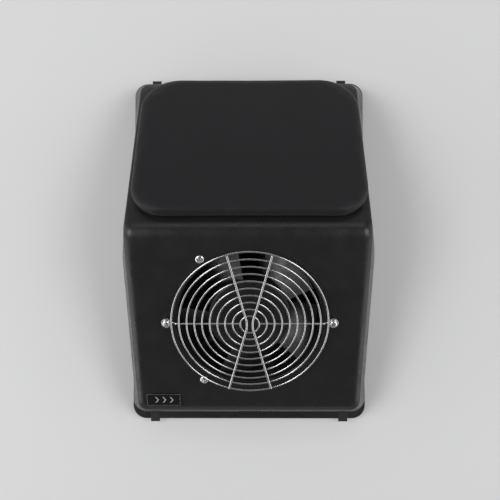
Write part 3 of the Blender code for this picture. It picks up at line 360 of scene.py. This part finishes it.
def make_materials():
    return {
        "shell": grained_plastic("shell_abs", (0.013, 0.013, 0.0135), 0.30, 0.0013, 0.00009),
        "base": grained_plastic("base_abs", (0.010, 0.010, 0.010), 0.50, 0.0009, 0.00008),
        "leather": leatherette("pad_leatherette", (0.012, 0.012, 0.0135)),
        "chrome": metal("guard_chrome", (0.58, 0.58, 0.59), 0.16),
        "screw": metal("screw_plate", (0.74, 0.74, 0.75), 0.20),
        "zinc": metal("zinc_steel", (0.58, 0.58, 0.60), 0.34, 0.00002, 0.12),
        "steel": metal("turned_steel", (0.56, 0.56, 0.57), 0.28, 0.00002),
        "brass": metal("pin_brass", (0.74, 0.60, 0.33), 0.25),
        "copper": winding_copper("stator_copper"),
        "fan_paint": plain_plastic("fan_paint", (0.010, 0.010, 0.0105), 0.42, 0.00003),
        "impeller": plain_plastic("impeller_nylon", (0.012, 0.012, 0.013), 0.35),
        "rubber": plain_plastic("foot_rubber", (0.016, 0.016, 0.016), 0.75, 0.00006),
        "gloss": plain_plastic("gloss_black", (0.012, 0.012, 0.012), 0.18),
        "badge_field": plain_plastic("badge_lacquer", (0.006, 0.006, 0.006), 0.16),
        "badge_rim": metal("badge_rim", (0.40, 0.40, 0.41), 0.25, 0.00001),
        "badge_mark": plain_plastic("badge_mark", (0.34, 0.34, 0.35), 0.4),
        "strip": woven("hook_and_loop", (0.03, 0.03, 0.03), 0.0010),
        "tab": woven("pull_tape", (0.11, 0.11, 0.12), 0.0008),
        "board": fibres("fibreboard", (0.36, 0.25, 0.15), 0.0016),
        "media": fibres("filter_paper", (0.82, 0.82, 0.79), 0.0020),
        "cassette": plain_plastic("cassette_plastic", (0.70, 0.70, 0.68), 0.45),
        "foam": foam("seal_foam", (0.05, 0.05, 0.055)),
        "lead_brown": plain_plastic("vinyl_brown", (0.14, 0.05, 0.025), 0.35),
        "lead_black": plain_plastic("vinyl_black", (0.015, 0.015, 0.015), 0.35),
        "lead_blue": plain_plastic("vinyl_blue", (0.02, 0.07, 0.30), 0.35),
        "lead_green": plain_plastic("vinyl_green", (0.08, 0.30, 0.05), 0.35),
    }


# ---------------------------------------------------------------- mesh tools

def circle(radius, segments, centre=(0.0, 0.0)):
    angles = [2 * math.pi * index / segments for index in range(segments)]
    return [(centre[0] + radius * math.cos(a), centre[1] + radius * math.sin(a)) for a in angles]


def arc(centre, radius, start_deg, end_deg, steps):
    points = []
    for step in range(steps + 1):
        angle = math.radians(start_deg + (end_deg - start_deg) * step / steps)
        points.append((centre[0] + radius * math.cos(angle), centre[1] + radius * math.sin(angle)))
    return points


def softened(points, radii, steps=4, closed=True):
    """A path whose corners are rounded by short parabolas; radii are the lengths cut off each corner."""
    path = []
    count = len(points)
    longest_cut = 0.49  # of a side, so that two cuts never meet
    for index, point in enumerate(points):
        here = Vector(point)
        if not radii[index] or (not closed and index in (0, count - 1)):
            path.append(here)
            continue
        before, after = Vector(points[index - 1]), Vector(points[(index + 1) % count])
        start = here + (before - here) * min(radii[index] / max((before - here).length, TINY), longest_cut)
        end = here + (after - here) * min(radii[index] / max((after - here).length, TINY), longest_cut)
        for step in range(steps + 1):
            part = step / steps
            path.append(start * (1 - part) ** 2 + here * 2 * part * (1 - part) + end * part * part)
    return path


def prism(outline, low, high):
    solid = bmesh.new()
    lower = [solid.verts.new((x, y, low)) for x, y in outline]
    upper = [solid.verts.new((x, y, high)) for x, y in outline]
    solid.faces.new(lower)
    solid.faces.new(upper)
    for index in range(len(outline)):
        after = (index + 1) % len(outline)
        solid.faces.new((lower[index], lower[after], upper[after], upper[index]))
    return solid


def box(low, high):
    outline = [(low[0], low[1]), (high[0], low[1]), (high[0], high[1]), (low[0], high[1])]
    return prism(outline, low[2], high[2])


def turned(profile, segments=48):
    """A closed profile of (radius, height) points, turned around Z."""
    solid = bmesh.new()
    rings = []
    for radius, height in profile:
        outline = circle(radius, segments) if radius > 1e-7 else [(0.0, 0.0)]
        rings.append([solid.verts.new((x, y, height)) for x, y in outline])
    for first, second in zip(rings, rings[1:] + rings[:1]):
        if len(first) == len(second) == 1:
            continue
        for index in range(segments):
            after = (index + 1) % segments
            corners = [first[index % len(first)], first[after % len(first)],
                       second[after % len(second)], second[index % len(second)]]
            solid.faces.new(list(dict.fromkeys(corners)))
    return solid


def rounded_outline(half_width, y_front, y_rear, front_radius, rear_radius, stations=(), steps=10):
    """A rounded rectangle from its front right corner, anticlockwise, with a point at each side station."""
    x_front, x_rear = half_width - front_radius, half_width - rear_radius
    return (arc((x_front, y_front + front_radius), front_radius, -90, 0, steps)
            + [(half_width, y) for y in stations]
            + arc((x_rear, y_rear - rear_radius), rear_radius, 0, 90, steps)
            + arc((-x_rear, y_rear - rear_radius), rear_radius, 90, 180, steps)
            + [(-half_width, y) for y in reversed(stations)]
            + arc((-x_front, y_front + front_radius), front_radius, 180, 270, steps))


def lofted(rings):
    """Stacked rings of points with the same count, closed at both ends by straight strips across X."""
    solid = bmesh.new()
    levels = [[solid.verts.new(point) for point in ring] for ring in rings]
    count = len(levels[0])
    for lower, upper in zip(levels, levels[1:]):
        for index in range(count):
            after = (index + 1) % count
            solid.faces.new((lower[index], lower[after], upper[after], upper[index]))
    for level in (levels[0], levels[-1]):
        for index in range(count // 2 - 1):
            across = count - 1 - index
            solid.faces.new((level[index], level[index + 1], level[across - 1], level[across]))
    return solid


def wire(path, radius, sides=10, closed=False):
    """A round wire along a list of points."""
    solid = bmesh.new()
    turn = [2 * math.pi * side / sides for side in range(sides)]
    path = [Vector(point) for point in path]
    count = len(path)
    rings = []
    for index, point in enumerate(path):
        before = path[index - 1] if closed or index > 0 else point
        after = path[(index + 1) % count] if closed or index < count - 1 else point
        along = (after - before).normalized()
        across = along.cross(Vector((0, 0, 1))).normalized()
        up = across.cross(along)
        spokes = [math.cos(angle) * across + math.sin(angle) * up for angle in turn]
        rings.append([solid.verts.new(point + radius * spoke) for spoke in spokes])
    pairs = list(zip(rings, rings[1:]))
    if closed:
        pairs.append((rings[-1], rings[0]))
    for first, second in pairs:
        for side in range(sides):
            after = (side + 1) % sides
            solid.faces.new((first[side], first[after], second[after], second[side]))
    if not closed:
        solid.faces.new(rings[0])
        solid.faces.new(rings[-1])
    return solid


def moved(solid, matrix):
    solid.transform(matrix)
    return solid


def turn_z(degrees):
    return Matrix.Rotation(math.radians(degrees), 4, "Z")


def gathered(solids):
    """One bmesh that holds several separate solids."""
    whole = bmesh.new()
    for solid in solids:
        bmesh.ops.recalc_face_normals(solid, faces=solid.faces)
        part = bpy.data.meshes.new("part")
        solid.to_mesh(part)
        solid.free()
        whole.from_mesh(part)
        bpy.data.meshes.remove(part)
    return whole


def make(name, solid):
    bmesh.ops.recalc_face_normals(solid, faces=solid.faces)
    mesh = bpy.data.meshes.new(name)
    solid.to_mesh(mesh)
    solid.free()
    piece = bpy.data.objects.new(name, mesh)
    bpy.context.scene.collection.objects.link(piece)
    return piece


def remove_piece(piece):
    """Takes a helper piece away and returns its shape as a bmesh."""
    solid = bmesh.new()
    solid.from_mesh(piece.data)
    bpy.data.objects.remove(piece)
    return solid


def read_points(piece):
    return np.array([vertex.co for vertex in piece.data.vertices], float).reshape(-1, 3)


def write_points(piece, points):
    piece.data.vertices.foreach_set("co", points.astype(np.float32).ravel())
    piece.data.update()


def apply_modifiers(piece):
    bpy.context.view_layer.update()
    evaluated = piece.evaluated_get(bpy.context.evaluated_depsgraph_get())
    result = bpy.data.meshes.new_from_object(evaluated)
    piece.modifiers.clear()
    piece.data = result


def combine(piece, solid, operation):
    """Applies one Boolean of a helper solid, both in piece's own axes."""
    helper = make("helper", solid)
    modifier = piece.modifiers.new("combine", "BOOLEAN")
    modifier.solver = "EXACT"
    modifier.operation = operation
    modifier.object = helper
    apply_modifiers(piece)
    bpy.data.objects.remove(helper)


def cut(piece, solid):
    combine(piece, solid, "DIFFERENCE")


def weld(piece, solid):
    combine(piece, solid, "UNION")


def add_bevel(piece, width, segments, angle):
    """A bevel modifier on the edges sharper than angle, in degrees."""
    modifier = piece.modifiers.new("edge", "BEVEL")
    modifier.width = width
    modifier.segments = segments
    modifier.limit_method = "ANGLE"
    modifier.angle_limit = math.radians(angle)


def bevelled(piece, width, segments=2):
    add_bevel(piece, width, segments, 35)
    apply_modifiers(piece)
    return piece


def shade_faces(piece, material, angle):
    """One material, smooth shading and sharp edges where faces meet at more than angle, in degrees."""
    piece.data.materials.clear()
    piece.data.materials.append(material)
    piece.data.shade_smooth()
    piece.data.set_sharp_from_angle(angle=math.radians(angle))


def dress(piece, material, body, replaces=(), angle=35.0, weighted=True):
    """Shading, material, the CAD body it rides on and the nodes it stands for."""
    shade_faces(piece, material, angle)
    if weighted:
        modifier = piece.modifiers.new("flat_faces_first", "WEIGHTED_NORMAL")
        modifier.keep_sharp = True
    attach(piece, body)
    if replaces:
        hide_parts(*replaces)


# ---------------------------------------------------------------- shell

def gable(y, front_drop, rear_drop, blend):
    """Height of a gable line at y: two straight slopes, each lowered, with a rounded top."""
    front = RIDGE_Z - front_rise * (RIDGE_Y - y) - front_drop
    rear = RIDGE_Z - rear_fall * (y - RIDGE_Y) - rear_drop
    reach = blend * (front_rise + rear_fall)
    closeness = max(reach - abs(front - rear), 0.0) / reach
    return min(front, rear) - closeness * closeness * reach / 4


def roof_height(y, drop):
    return gable(y, drop, drop, RIDGE_BLEND)


def hip_height(y, drop):
    return max(HIP_FLOOR - drop, gable(y, HIP_DROP_FRONT, HIP_DROP_REAR, HIP_BLEND) - drop)


def shell_stations():
    """Even places along the sides, closer together over the ridge and the top of the hip line."""
    coarse_reach, coarse_pitch = 0.150, 0.012
    fine_front, fine_rear, fine_pitch = -0.026, 0.028, 0.002
    end_margin = 0.0001
    coarse = np.arange(-coarse_reach, coarse_reach + end_margin, coarse_pitch)
    fine = np.arange(fine_front, fine_rear + end_margin, fine_pitch)
    return sorted({round(float(y), 4) for y in np.concatenate([coarse, fine])})


def shell_ring(half_width, y_front, y_rear, radius, height):
    outline = rounded_outline(half_width, y_front, y_rear, radius, radius, shell_stations())
    return [Vector((x, y, height(y))) for x, y in outline]


def shell_rings():
    """From the flat of the roof down the outside to the rim and up the inside, with every fold rounded."""
    front, rear = FRONT_FOLD_Y, REAR_FOLD_Y
    rim_top = rim_bottom + RIM_THICKNESS
    flat_border, tighter, hip_skin = 0.006, 0.002, 0.001

    def around_roof(inset, corner, drop):
        return shell_ring(FOLD_HALF_WIDTH - inset, front + inset, rear - inset, corner,
                          lambda y: roof_height(y, drop))

    def around_side(inset, height):
        return shell_ring(SIDE_HALF_WIDTH - inset, FRONT_END_Y + inset, REAR_END_Y - inset,
                          SIDE_CORNER - inset, height)

    def around_rim(height):
        return shell_ring(rim_half_width, -rim_half_length, rim_half_length, SIDE_CORNER, lambda y: height)

    # each ring of the wall's section, after the length that is rounded off where the section turns there
    knots = [
        (0.0, around_roof(FOLD_BEVEL + flat_border, FLAT_CORNER - tighter, 0)),
        (0.0030, around_roof(FOLD_BEVEL, FLAT_CORNER, 0)),
        (0.0016, around_roof(0.0, FOLD_CORNER, FOLD_DROP)),
        (0.0050, around_side(0.0, lambda y: hip_height(y, 0))),
        (0.0012, around_side(0.0, lambda y: rim_top)),
        (0.0005, around_rim(rim_top)),
        (0.0005, around_rim(rim_bottom)),
        (0.0005, around_side(WALL, lambda y: rim_bottom)),
        (0.0030, around_side(WALL, lambda y: hip_height(y, hip_skin))),
        (0.0010, around_roof(WALL, FOLD_CORNER - tighter, FOLD_DROP + SKIN)),
        (0.0, around_roof(FOLD_BEVEL + WALL, FLAT_CORNER - tighter, SKIN)),
    ]
    radii = [radius for radius, ring in knots]
    columns = [softened([ring[index] for radius, ring in knots], radii, 4, closed=False)
               for index in range(len(knots[0][1]))]
    return [list(ring) for ring in zip(*columns)]


def screw_place(angle_deg):
    angle = math.radians(angle_deg)
    return FAN_BOLT_RADIUS * math.cos(angle), FAN_BOLT_RADIUS * math.sin(angle)


def flared_hole(radius, lip, segments):
    """A cutter for a hole through the front slope, with a rounded upper edge."""
    high, low = 0.010, -0.020
    rounding = [0.4 * step for step in range(4)]
    profile = [(0.0, low), (radius, low)]
    profile += [(radius + lip * (1 - math.cos(a)), -lip + lip * math.sin(a)) for a in rounding]
    profile += [(radius + lip, 0.0), (radius + lip, high), (0.0, high)]
    return turned(profile, segments)


def make_shell(materials):
    """The hood with its fan opening, screw holes, tongue notches and the two openings in the right side."""
    shell = make("shell_body", lofted(shell_rings()))
    cut(shell, moved(flared_hole(FAN_OPENING_RADIUS, FAN_OPENING_LIP, LARGE_CIRCLE), fan_axes))
    deep = 0.010
    holes = []
    for angle in SCREW_ANGLES.values():
        hole = prism(circle(SCREW_HOLE_RADIUS, SMALL_CIRCLE, screw_place(angle)), -deep, deep)
        holes.append(moved(hole, fan_axes))
    cut(shell, gathered(holes))
    beyond = rim_half_length + NOTCH_OVERRUN
    notch_top = rim_bottom + PLATE_THICKNESS + CLEARANCE
    notches = []
    for x in (-TONGUE_X, TONGUE_X):
        for y_low, y_high in ((-beyond, FRONT_END_Y + NOTCH_REACH), (REAR_END_Y - NOTCH_REACH, beyond)):
            low = (x - NOTCH_HALF_WIDTH, y_low, 0.0)
            high = (x + NOTCH_HALF_WIDTH, y_high, notch_top)
            notches.append(box(low, high))
    cut(shell, gathered(notches))
    openings = []
    for node, (lip_y, lip_z) in (("power_inlet", INLET_FLANGE_LIP), ("switch_housing", SWITCH_FLANGE_LIP)):
        low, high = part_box(node)
        openings.append(box((OPENING_INSIDE_X, low.y + lip_y, low.z + lip_z),
                            (OPENING_OUTSIDE_X, high.y - lip_y, high.z - lip_z)))
    cut(shell, gathered(openings))
    dress(shell, materials["shell"], "shell", ["top_shell"], 50.0)


# ---------------------------------------------------------------- guard and fasteners

def make_guard(materials):
    """Concentric rings on two side stays and two bent cross stays, with an eyelet at each side."""
    pitch = (GUARD_OUTER_RADIUS - GUARD_INNER_RADIUS) / (GUARD_RINGS - 1)
    parts = []
    for index in range(GUARD_RINGS):
        points = 40 + 8 * index
        outline = circle(GUARD_INNER_RADIUS + pitch * index, points)
        parts.append(wire([(x, y, GUARD_HEIGHT) for x, y in outline], RING_WIRE_RADIUS, 10, closed=True))
    for side in (-1, 1):
        stay = [(GUARD_INNER_RADIUS - STAY_OVERLAP, 0, SIDE_STAY_HEIGHT),
                (SIDE_STAY_DROP_START, 0, SIDE_STAY_HEIGHT),
                (SIDE_STAY_DROP_END, 0, EYELET_HEIGHT), (SIDE_STAY_END, 0, EYELET_HEIGHT)]
        stay = softened(stay, [0, SIDE_STAY_ROUNDING, SIDE_STAY_ROUNDING, 0], 5, closed=False)
        parts.append(wire([(side * p.x, p.y, p.z) for p in stay], STAY_WIRE_RADIUS))
        end_x = CROSS_STAY_CENTRE_X + (CROSS_STAY_END_Y - CROSS_STAY_BEND_Y) * math.tan(CROSS_STAY_ANGLE)
        bent = [(end_x, CROSS_STAY_END_Y), (CROSS_STAY_CENTRE_X, CROSS_STAY_BEND_Y)]
        bent += [(x, -y) for x, y in reversed(bent)]
        bent = softened([(x, y, CROSS_STAY_HEIGHT) for x, y in bent],
                        [0, CROSS_STAY_ROUNDING, CROSS_STAY_ROUNDING, 0], 5, closed=False)
        parts.append(wire([(side * p.x, p.y, p.z) for p in bent], STAY_WIRE_RADIUS))
        eyelet = circle(EYELET_RADIUS, EYELET_POINTS, (side * FAN_BOLT_RADIUS, 0))
        parts.append(wire([(x, y, EYELET_HEIGHT) for x, y in eyelet], STAY_WIRE_RADIUS, 10, closed=True))
    guard = make("guard_wires", moved(gathered(parts), fan_axes))
    dress(guard, materials["chrome"], "shell", ["finger_guard"], 60.0, weighted=False)


def pan_head_screw(name, head_low, head_radius):
    """A domed head with a cross recess on a threaded shank that points down."""
    head_high, length, shank = head_low + 0.0023, 0.0135, 0.0020
    turns, core, thread_top = 14, shank * 0.86, head_low - 0.003
    rim, chamfer = 0.0009, 0.0002
    arm, slot_half_width, depth = head_radius * 0.52, 0.00048, 0.0013
    pitch = (thread_top + length) / turns
    thread = []
    for index in range(turns):
        high = thread_top - (thread_top + length) * index / turns
        thread += [(shank, high), (core, high - pitch / 2)]
    profile = [(0.0, -length), (core, -length)] + list(reversed(thread)) + [(shank, head_low)]
    profile += [(head_radius - chamfer, head_low), (head_radius, head_low + chamfer)]
    for angle in [math.pi / 2 * step / 8 for step in range(8)]:
        height = head_low + rim + (head_high - head_low - rim) * math.sin(angle)
        profile.append((head_radius * math.cos(angle), height))
    profile.append((0.0, head_high))
    screw = make(name, turned(profile, 32))
    low, high = head_high - depth, head_high + depth
    cross = make("cross", box((-arm, -slot_half_width, low), (arm, slot_half_width, high)))
    # the second bar is set a little higher, so that no two faces of the bars coincide
    low, high = head_high - depth * 0.95, head_high + depth * 1.05
    weld(cross, box((-slot_half_width, -arm, low), (slot_half_width, arm, high)))
    cut(screw, remove_piece(cross))
    return bevelled(screw, 0.00006, 1)


def make_fasteners(materials):
    """The guard's two screws and washers, and the two screws that sit straight on the slope."""
    washer_low = EYELET_HEIGHT + STAY_WIRE_RADIUS + SCREW_GAP
    washer_high = washer_low + WASHER_THICKNESS
    outline = [(SCREW_HOLE_RADIUS, washer_low, 0), (SCREW_HOLE_RADIUS, washer_high, 0),
               (WASHER_RADIUS, washer_high, 0), (WASHER_RADIUS, washer_low, 0)]
    fine, upper_edge = 0.0002, 0.0004
    outline = [(p.x, p.y) for p in softened(outline, [fine, fine, upper_edge, fine], 3)]
    for side, angle in SCREW_ANGLES.items():
        x, y = screw_place(angle)
        slot_angle = angle * 1.7 + 20
        place = fan_axes @ Matrix.Translation((x, y, 0.0)) @ turn_z(slot_angle)
        if side in ("left", "right"):
            washer = make("washer_" + side, moved(turned(outline, 40), place))
            dress(washer, materials["screw"], "shell", ["guard_washer_" + side])
            screw = pan_head_screw("eye_screw_" + side, washer_high + SCREW_GAP, GUARD_SCREW_HEAD_RADIUS)
            node = "guard_screw_" + side
        else:
            screw = pan_head_screw("lug_screw_" + side, SCREW_GAP, FAN_SCREW_HEAD_RADIUS)
            node = "fan_screw_" + side
        screw.data.transform(place)
        dress(screw, materials["screw"], "shell", [node])


def make_badge(materials):
    """A lacquered plate in a bright rim, with a plain airflow pictogram of three chevrons."""
    low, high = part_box("badge_plate")
    local = fan_axes.inverted() @ ((low + high) / 2)
    centre = fan_axes @ Matrix.Translation((local.x, local.y, 0.0))
    half_width, half_height, rim, gap, corner = 0.01725, 0.0070, 0.0006, 0.00005, 0.0008
    foot, rim_top, field_top, mark_foot, mark_top = 0.0003, 0.0015, 0.0012, 0.0011, 0.00135
    below, above = -0.001, 0.003

    def plate(inset):
        width, height = half_width - inset, half_height - inset
        return rounded_outline(width, -height, height, corner, corner, steps=4)

    frame_piece = make("badge_rim", prism(plate(0), foot, rim_top))
    cut(frame_piece, prism(plate(rim), below, above))
    bevelled(frame_piece, 0.00012)
    frame_piece.data.transform(centre)
    dress(frame_piece, materials["badge_rim"], "shell", ["badge_plate"])
    field = make("badge_field", prism(plate(rim + gap), foot, field_top))
    bevelled(field, 0.0001)
    field.data.transform(centre)
    dress(field, materials["badge_field"], "shell")
    chevrons = []
    reach, height, stroke, spacing = 0.0026, 0.0034, 0.0013, 0.0075
    for index in (-1, 0, 1):
        x = index * spacing - reach / 2
        outline = [(x, height), (x + reach, 0.0), (x, -height), (x + stroke, -height),
                   (x + stroke + reach, 0.0), (x + stroke, height)]
        chevrons.append(prism(outline, mark_foot, mark_top))
    symbol = make("badge_chevrons", moved(gathered(chevrons), centre))
    dress(symbol, materials["badge_mark"], "shell")


# ---------------------------------------------------------------- fan

def make_fan_housing(materials):
    """Venturi ring with its lugs and struts, the motor's base with its bearing tube, and a terminal block."""
    upper_flare_height, lower_flare_height, bolt_hole_radius = 0.007, 0.006, 0.0023
    step_back, hole_low, hole_high = 0.0004, -0.012, 0.002
    profile = [(FAN_OUTER_RADIUS, FAN_TOP), (FAN_OUTER_RADIUS, FAN_BOTTOM),
               (FAN_BORE_RADIUS + FAN_FLARE, FAN_BOTTOM), (FAN_BORE_RADIUS, FAN_BOTTOM + lower_flare_height)]
    for angle in [math.pi / 2 * step / 8 for step in range(9)]:
        height = FAN_TOP - upper_flare_height + upper_flare_height * math.sin(angle)
        profile.append((FAN_BORE_RADIUS + FAN_FLARE * (1 - math.cos(angle)), height))
    ring = make("fan_housing", turned(profile, LARGE_CIRCLE))
    lugs, holes, struts = [], [], []
    tip = arc((FAN_BOLT_RADIUS, 0.0), LUG_HALF_WIDTH, -90, 90, 16)
    outline = [(LUG_ROOT, -LUG_HALF_WIDTH)] + tip + [(LUG_ROOT, LUG_HALF_WIDTH)]
    for angle in SCREW_ANGLES.values():
        lugs.append(moved(prism(outline, FAN_TOP - LUG_THICKNESS, FAN_TOP - step_back), turn_z(angle)))
        hole = circle(bolt_hole_radius, SMALL_CIRCLE, screw_place(angle))
        holes.append(prism(hole, hole_low, hole_high))
    weld(ring, gathered(lugs))
    cut(ring, gathered(holes))
    for index in range(STRUT_COUNT):
        strut = box((STRUT_START, -STRUT_HALF_WIDTH, FAN_BOTTOM + step_back),
                    (STRUT_END, STRUT_HALF_WIDTH, STRUT_TOP))
        struts.append(moved(strut, turn_z(45 + 90 * index)))
    tube = [
        (HUB_RADIUS, MOTOR_BASE_TOP), (HUB_RADIUS, FAN_BOTTOM),
        (BEARING_SEAT_RADIUS, FAN_BOTTOM), (BEARING_SEAT_RADIUS, REAR_SEAT_TOP),
        (SHAFT_PASSAGE_RADIUS, REAR_SEAT_TOP), (SHAFT_PASSAGE_RADIUS, FRONT_SEAT_BOTTOM),
        (BEARING_SEAT_RADIUS, FRONT_SEAT_BOTTOM), (BEARING_SEAT_RADIUS, TUBE_TOP),
        (TUBE_RADIUS, TUBE_TOP), (TUBE_RADIUS, MOTOR_BASE_TOP),
    ]
    base = make("base", turned(tube, 64))
    weld(base, gathered(struts))
    weld(ring, box(TERMINAL_LOW, TERMINAL_HIGH))
    weld(ring, remove_piece(base))
    bevelled(ring, 0.0003)
    ring.data.transform(fan_axes)
    dress(ring, materials["fan_paint"], "shell", ["fan_frame"])


def blade(start_deg):
    """One twisted blade that runs round the hub as it drops from its radial upper edge."""
    solid = bmesh.new()
    radial, chord = 12, 20
    root_radius = HUB_RADIUS - BLADE_ROOT_DEPTH
    edge_thickness, middle_thickness, thickening, thinning_end = 0.0003, 0.0009, 1.6, 1.15
    upper, lower = [], []
    for row in range(radial + 1):
        out = row / radial
        radius = root_radius + (BLADE_TIP_RADIUS - HUB_RADIUS + BLADE_ROOT_DEPTH) * out
        upper_row, lower_row = [], []
        for step in range(chord + 1):
            part = step / chord
            angle = math.radians(start_deg + BLADE_SPAN_DEG * part * (1.0 - BLADE_TIP_SPAN_LOSS * out))
            camber = BLADE_CAMBER * math.sin(math.pi * part) * (1 - out)
            centre = BLADE_TOP + (BLADE_BOTTOM - BLADE_TOP) * part + camber
            fullness = math.sin(math.pi / 2 * min(part * thickening, 1.0)) * (thinning_end - part)
            half = edge_thickness + middle_thickness * fullness
            x, y = radius * math.cos(angle), radius * math.sin(angle)
            upper_row.append(solid.verts.new((x, y, centre + half)))
            lower_row.append(solid.verts.new((x, y, centre - half)))
        upper.append(upper_row)
        lower.append(lower_row)
    for grid in (upper, lower):
        for near, far in zip(grid, grid[1:]):
            for step in range(chord):
                solid.faces.new((near[step], near[step + 1], far[step + 1], far[step]))
    border = [(0, step) for step in range(chord)] + [(row, chord) for row in range(radial)]
    border += [(radial, step) for step in range(chord, 0, -1)] + [(row, 0) for row in range(radial, 0, -1)]
    for here, after in zip(border, border[1:] + border[:1]):
        solid.faces.new((upper[here[0]][here[1]], upper[after[0]][after[1]],
                         lower[after[0]][after[1]], lower[here[0]][here[1]]))
    return solid


def make_impeller(materials):
    """A round-shouldered hub cup over the rotor, with its blades."""
    crown = softened([(0.0, HUB_TOP, 0), (HUB_RADIUS, HUB_TOP, 0), (HUB_RADIUS, HUB_BOTTOM, 0)],
                     [0, HUB_ROUNDING, 0], 6, closed=False)
    profile = [(p.x, p.y) for p in crown]
    profile += [(HUB_INNER_RADIUS, HUB_BOTTOM), (HUB_INNER_RADIUS, HUB_INNER_TOP), (0.0, HUB_INNER_TOP)]
    impeller = make("fan_impeller", turned(profile, 96))
    starts = [BLADE_START_DEG + 360.0 / BLADE_COUNT * index for index in range(BLADE_COUNT)]
    weld(impeller, gathered([blade(start) for start in starts]))
    impeller.data.transform(fan_axes)
    dress(impeller, materials["impeller"], "impeller", ["impeller"])


# ---------------------------------------------------------------- hand rest

def pad_outline(inset):
    return rounded_outline(PAD_HALF_WIDTH - inset, PAD_FRONT + inset, PAD_REAR - inset,
                           PAD_FRONT_CORNER - inset, PAD_REAR_CORNER - inset, steps=14)


def pad_ring(inset, height):
    """The pad's outline, drawn in by inset, at that height."""
    return [(x, y, height) for x, y in pad_outline(inset)]


def swell(piece, pressure, voxel, cap):
    """Cloth under gentle pressure: the cover swells over its foam, but no point moves further than cap."""
    remesh = piece.modifiers.new("remesh", "REMESH")
    remesh.mode = "VOXEL"
    remesh.voxel_size = voxel
    apply_modifiers(piece)
    rest = read_points(piece)
    cloth = piece.modifiers.new("cloth", "CLOTH")
    cloth.settings.use_pressure = True
    cloth.settings.uniform_pressure_force = pressure
    cloth.settings.effector_weights.gravity = 0.0
    cloth.settings.quality = 6
    scene = bpy.context.scene
    scene.frame_start, scene.frame_end = 1, CLOTH_FRAMES
    for number in range(1, CLOTH_FRAMES + 1):
        scene.frame_set(number)
    apply_modifiers(piece)
    scene.frame_set(1)
    step = read_points(piece) - rest
    length = np.linalg.norm(step, axis=1, keepdims=True)
    step *= np.minimum(1.0, cap / np.maximum(length, TINY))
    write_points(piece, rest + step)


def make_cushion(materials):
    """Leatherette over thin foam: almost flat on top, rounded at the edges, hollow over its board."""
    # inset from the outline and rise above the bottom, from the lower edge round to the top
    edge = [(0.0045, 0.0003), (0.0022, 0.0010), (0.0006, 0.0030), (0.0, 0.0055), (0.0, 0.0078),
            (0.0010, 0.0098), (0.0030, 0.0112), (0.0062, 0.0118), (0.0120, 0.0120)]
    rings = [pad_ring(inset + COVER_SWELLING, PAD_BOTTOM + rise) for inset, rise in edge]
    cushion = make("cushion_cover", lofted(rings))
    swell(cushion, COVER_PRESSURE, COVER_VOXEL, COVER_SWELLING)
    # the remesh and the cloth leave the cover a little small, so it is brought back to its length and width
    points = read_points(cushion)
    points[:, 2] = np.clip(points[:, 2], PAD_BOTTOM, PAD_TOP)
    for axis, low, high in ((0, -PAD_HALF_WIDTH, PAD_HALF_WIDTH), (1, PAD_FRONT, PAD_REAR)):
        start, end = points[:, axis].min(), points[:, axis].max()
        points[:, axis] = low + (points[:, axis] - start) * (high - low) / (end - start)
    write_points(cushion, points)
    subdivision = cushion.modifiers.new("smooth", "SUBSURF")
    subdivision.levels = subdivision.render_levels = 1
    apply_modifiers(cushion)
    below = -0.010
    cut(cushion, prism(pad_outline(BOARD_INSET - CLEARANCE), below, BOARD_TOP + CLEARANCE))
    cushion.data.transform(pad_axes)
    dress(cushion, materials["leather"], "pad", ["cushion"], 80.0, weighted=False)


# ---------------------------------------------------------------- carried-over CAD nodes

def dress_cad_nodes(materials):
    """CAD nodes whose shape is right keep it and get a finished material and fine edges."""
    # each node's material and the width of its bevel
    looks = {
        "base_plate": ("base", 0.0004), "power_inlet": ("gloss", 0.0002), "switch_housing": ("gloss", 0.0002),
        "rocker_button": ("gloss", 0.0003), "stator": ("copper", 0.0003), "bearing_front": ("steel", 0.0002),
        "bearing_rear": ("steel", 0.0002), "rotor_cup": ("steel", 0.0004), "rotor_shaft": ("steel", 0.0003),
        "shaft_clip": ("steel", 0.0001), "filter_frame": ("cassette", 0.0004), "filter_media": ("media", 0.0),
        "filter_seal": ("foam", 0.0003), "filter_pull_tab": ("tab", 0.0), "cushion_board": ("board", 0.0004),
        "lead_live": ("lead_brown", 0.0), "lead_switched": ("lead_black", 0.0),
        "lead_neutral": ("lead_blue", 0.0), "lead_earth": ("lead_green", 0.0),
    }
    for side in ("left", "right"):
        looks["hook_strip_" + side] = looks["loop_strip_" + side] = ("strip", 0.0)
        looks["fan_nut_" + side] = ("zinc", 0.0002)
        for depth in ("front", "rear"):
            looks["foot_" + depth + "_" + side] = ("rubber", 0.0004)
            looks["foot_screw_" + depth + "_" + side] = ("zinc", 0.0002)
    for place in ("upper", "lower"):
        looks["fan_nut_" + place] = ("zinc", 0.0002)
    for place in ("front", "rear"):
        looks["inlet_screw_" + place] = ("zinc", 0.0001)
    for pin in ("live", "neutral", "earth"):
        looks["inlet_pin_" + pin] = ("brass", 0.0002)
    for node, (look, edge) in looks.items():
        item = frame["nodes"][node]
        shade_faces(item, materials[look], 35)
        if edge:
            add_bevel(item, edge, 2, 40)


def make_floor():
    """A matt pale table top under the part."""
    surface = Surface("table", 0.6)
    surface.colour(mottled(surface, (TABLE_GREY, TABLE_GREY, TABLE_GREY), 0.3, 0.01))
    half = FLOOR_HALF_SIZE
    floor = make("table", box((-half, -half, -FLOOR_THICKNESS), (half, half, 0.0)))
    floor.data.materials.append(surface.material)


def main():
    """Builds the scene."""
    make_camera()
    make_light()
    make_floor()
    materials = make_materials()
    make_shell(materials)
    make_badge(materials)
    make_guard(materials)
    make_fasteners(materials)
    make_fan_housing(materials)
    make_impeller(materials)
    make_cushion(materials)
    dress_cad_nodes(materials)


main()
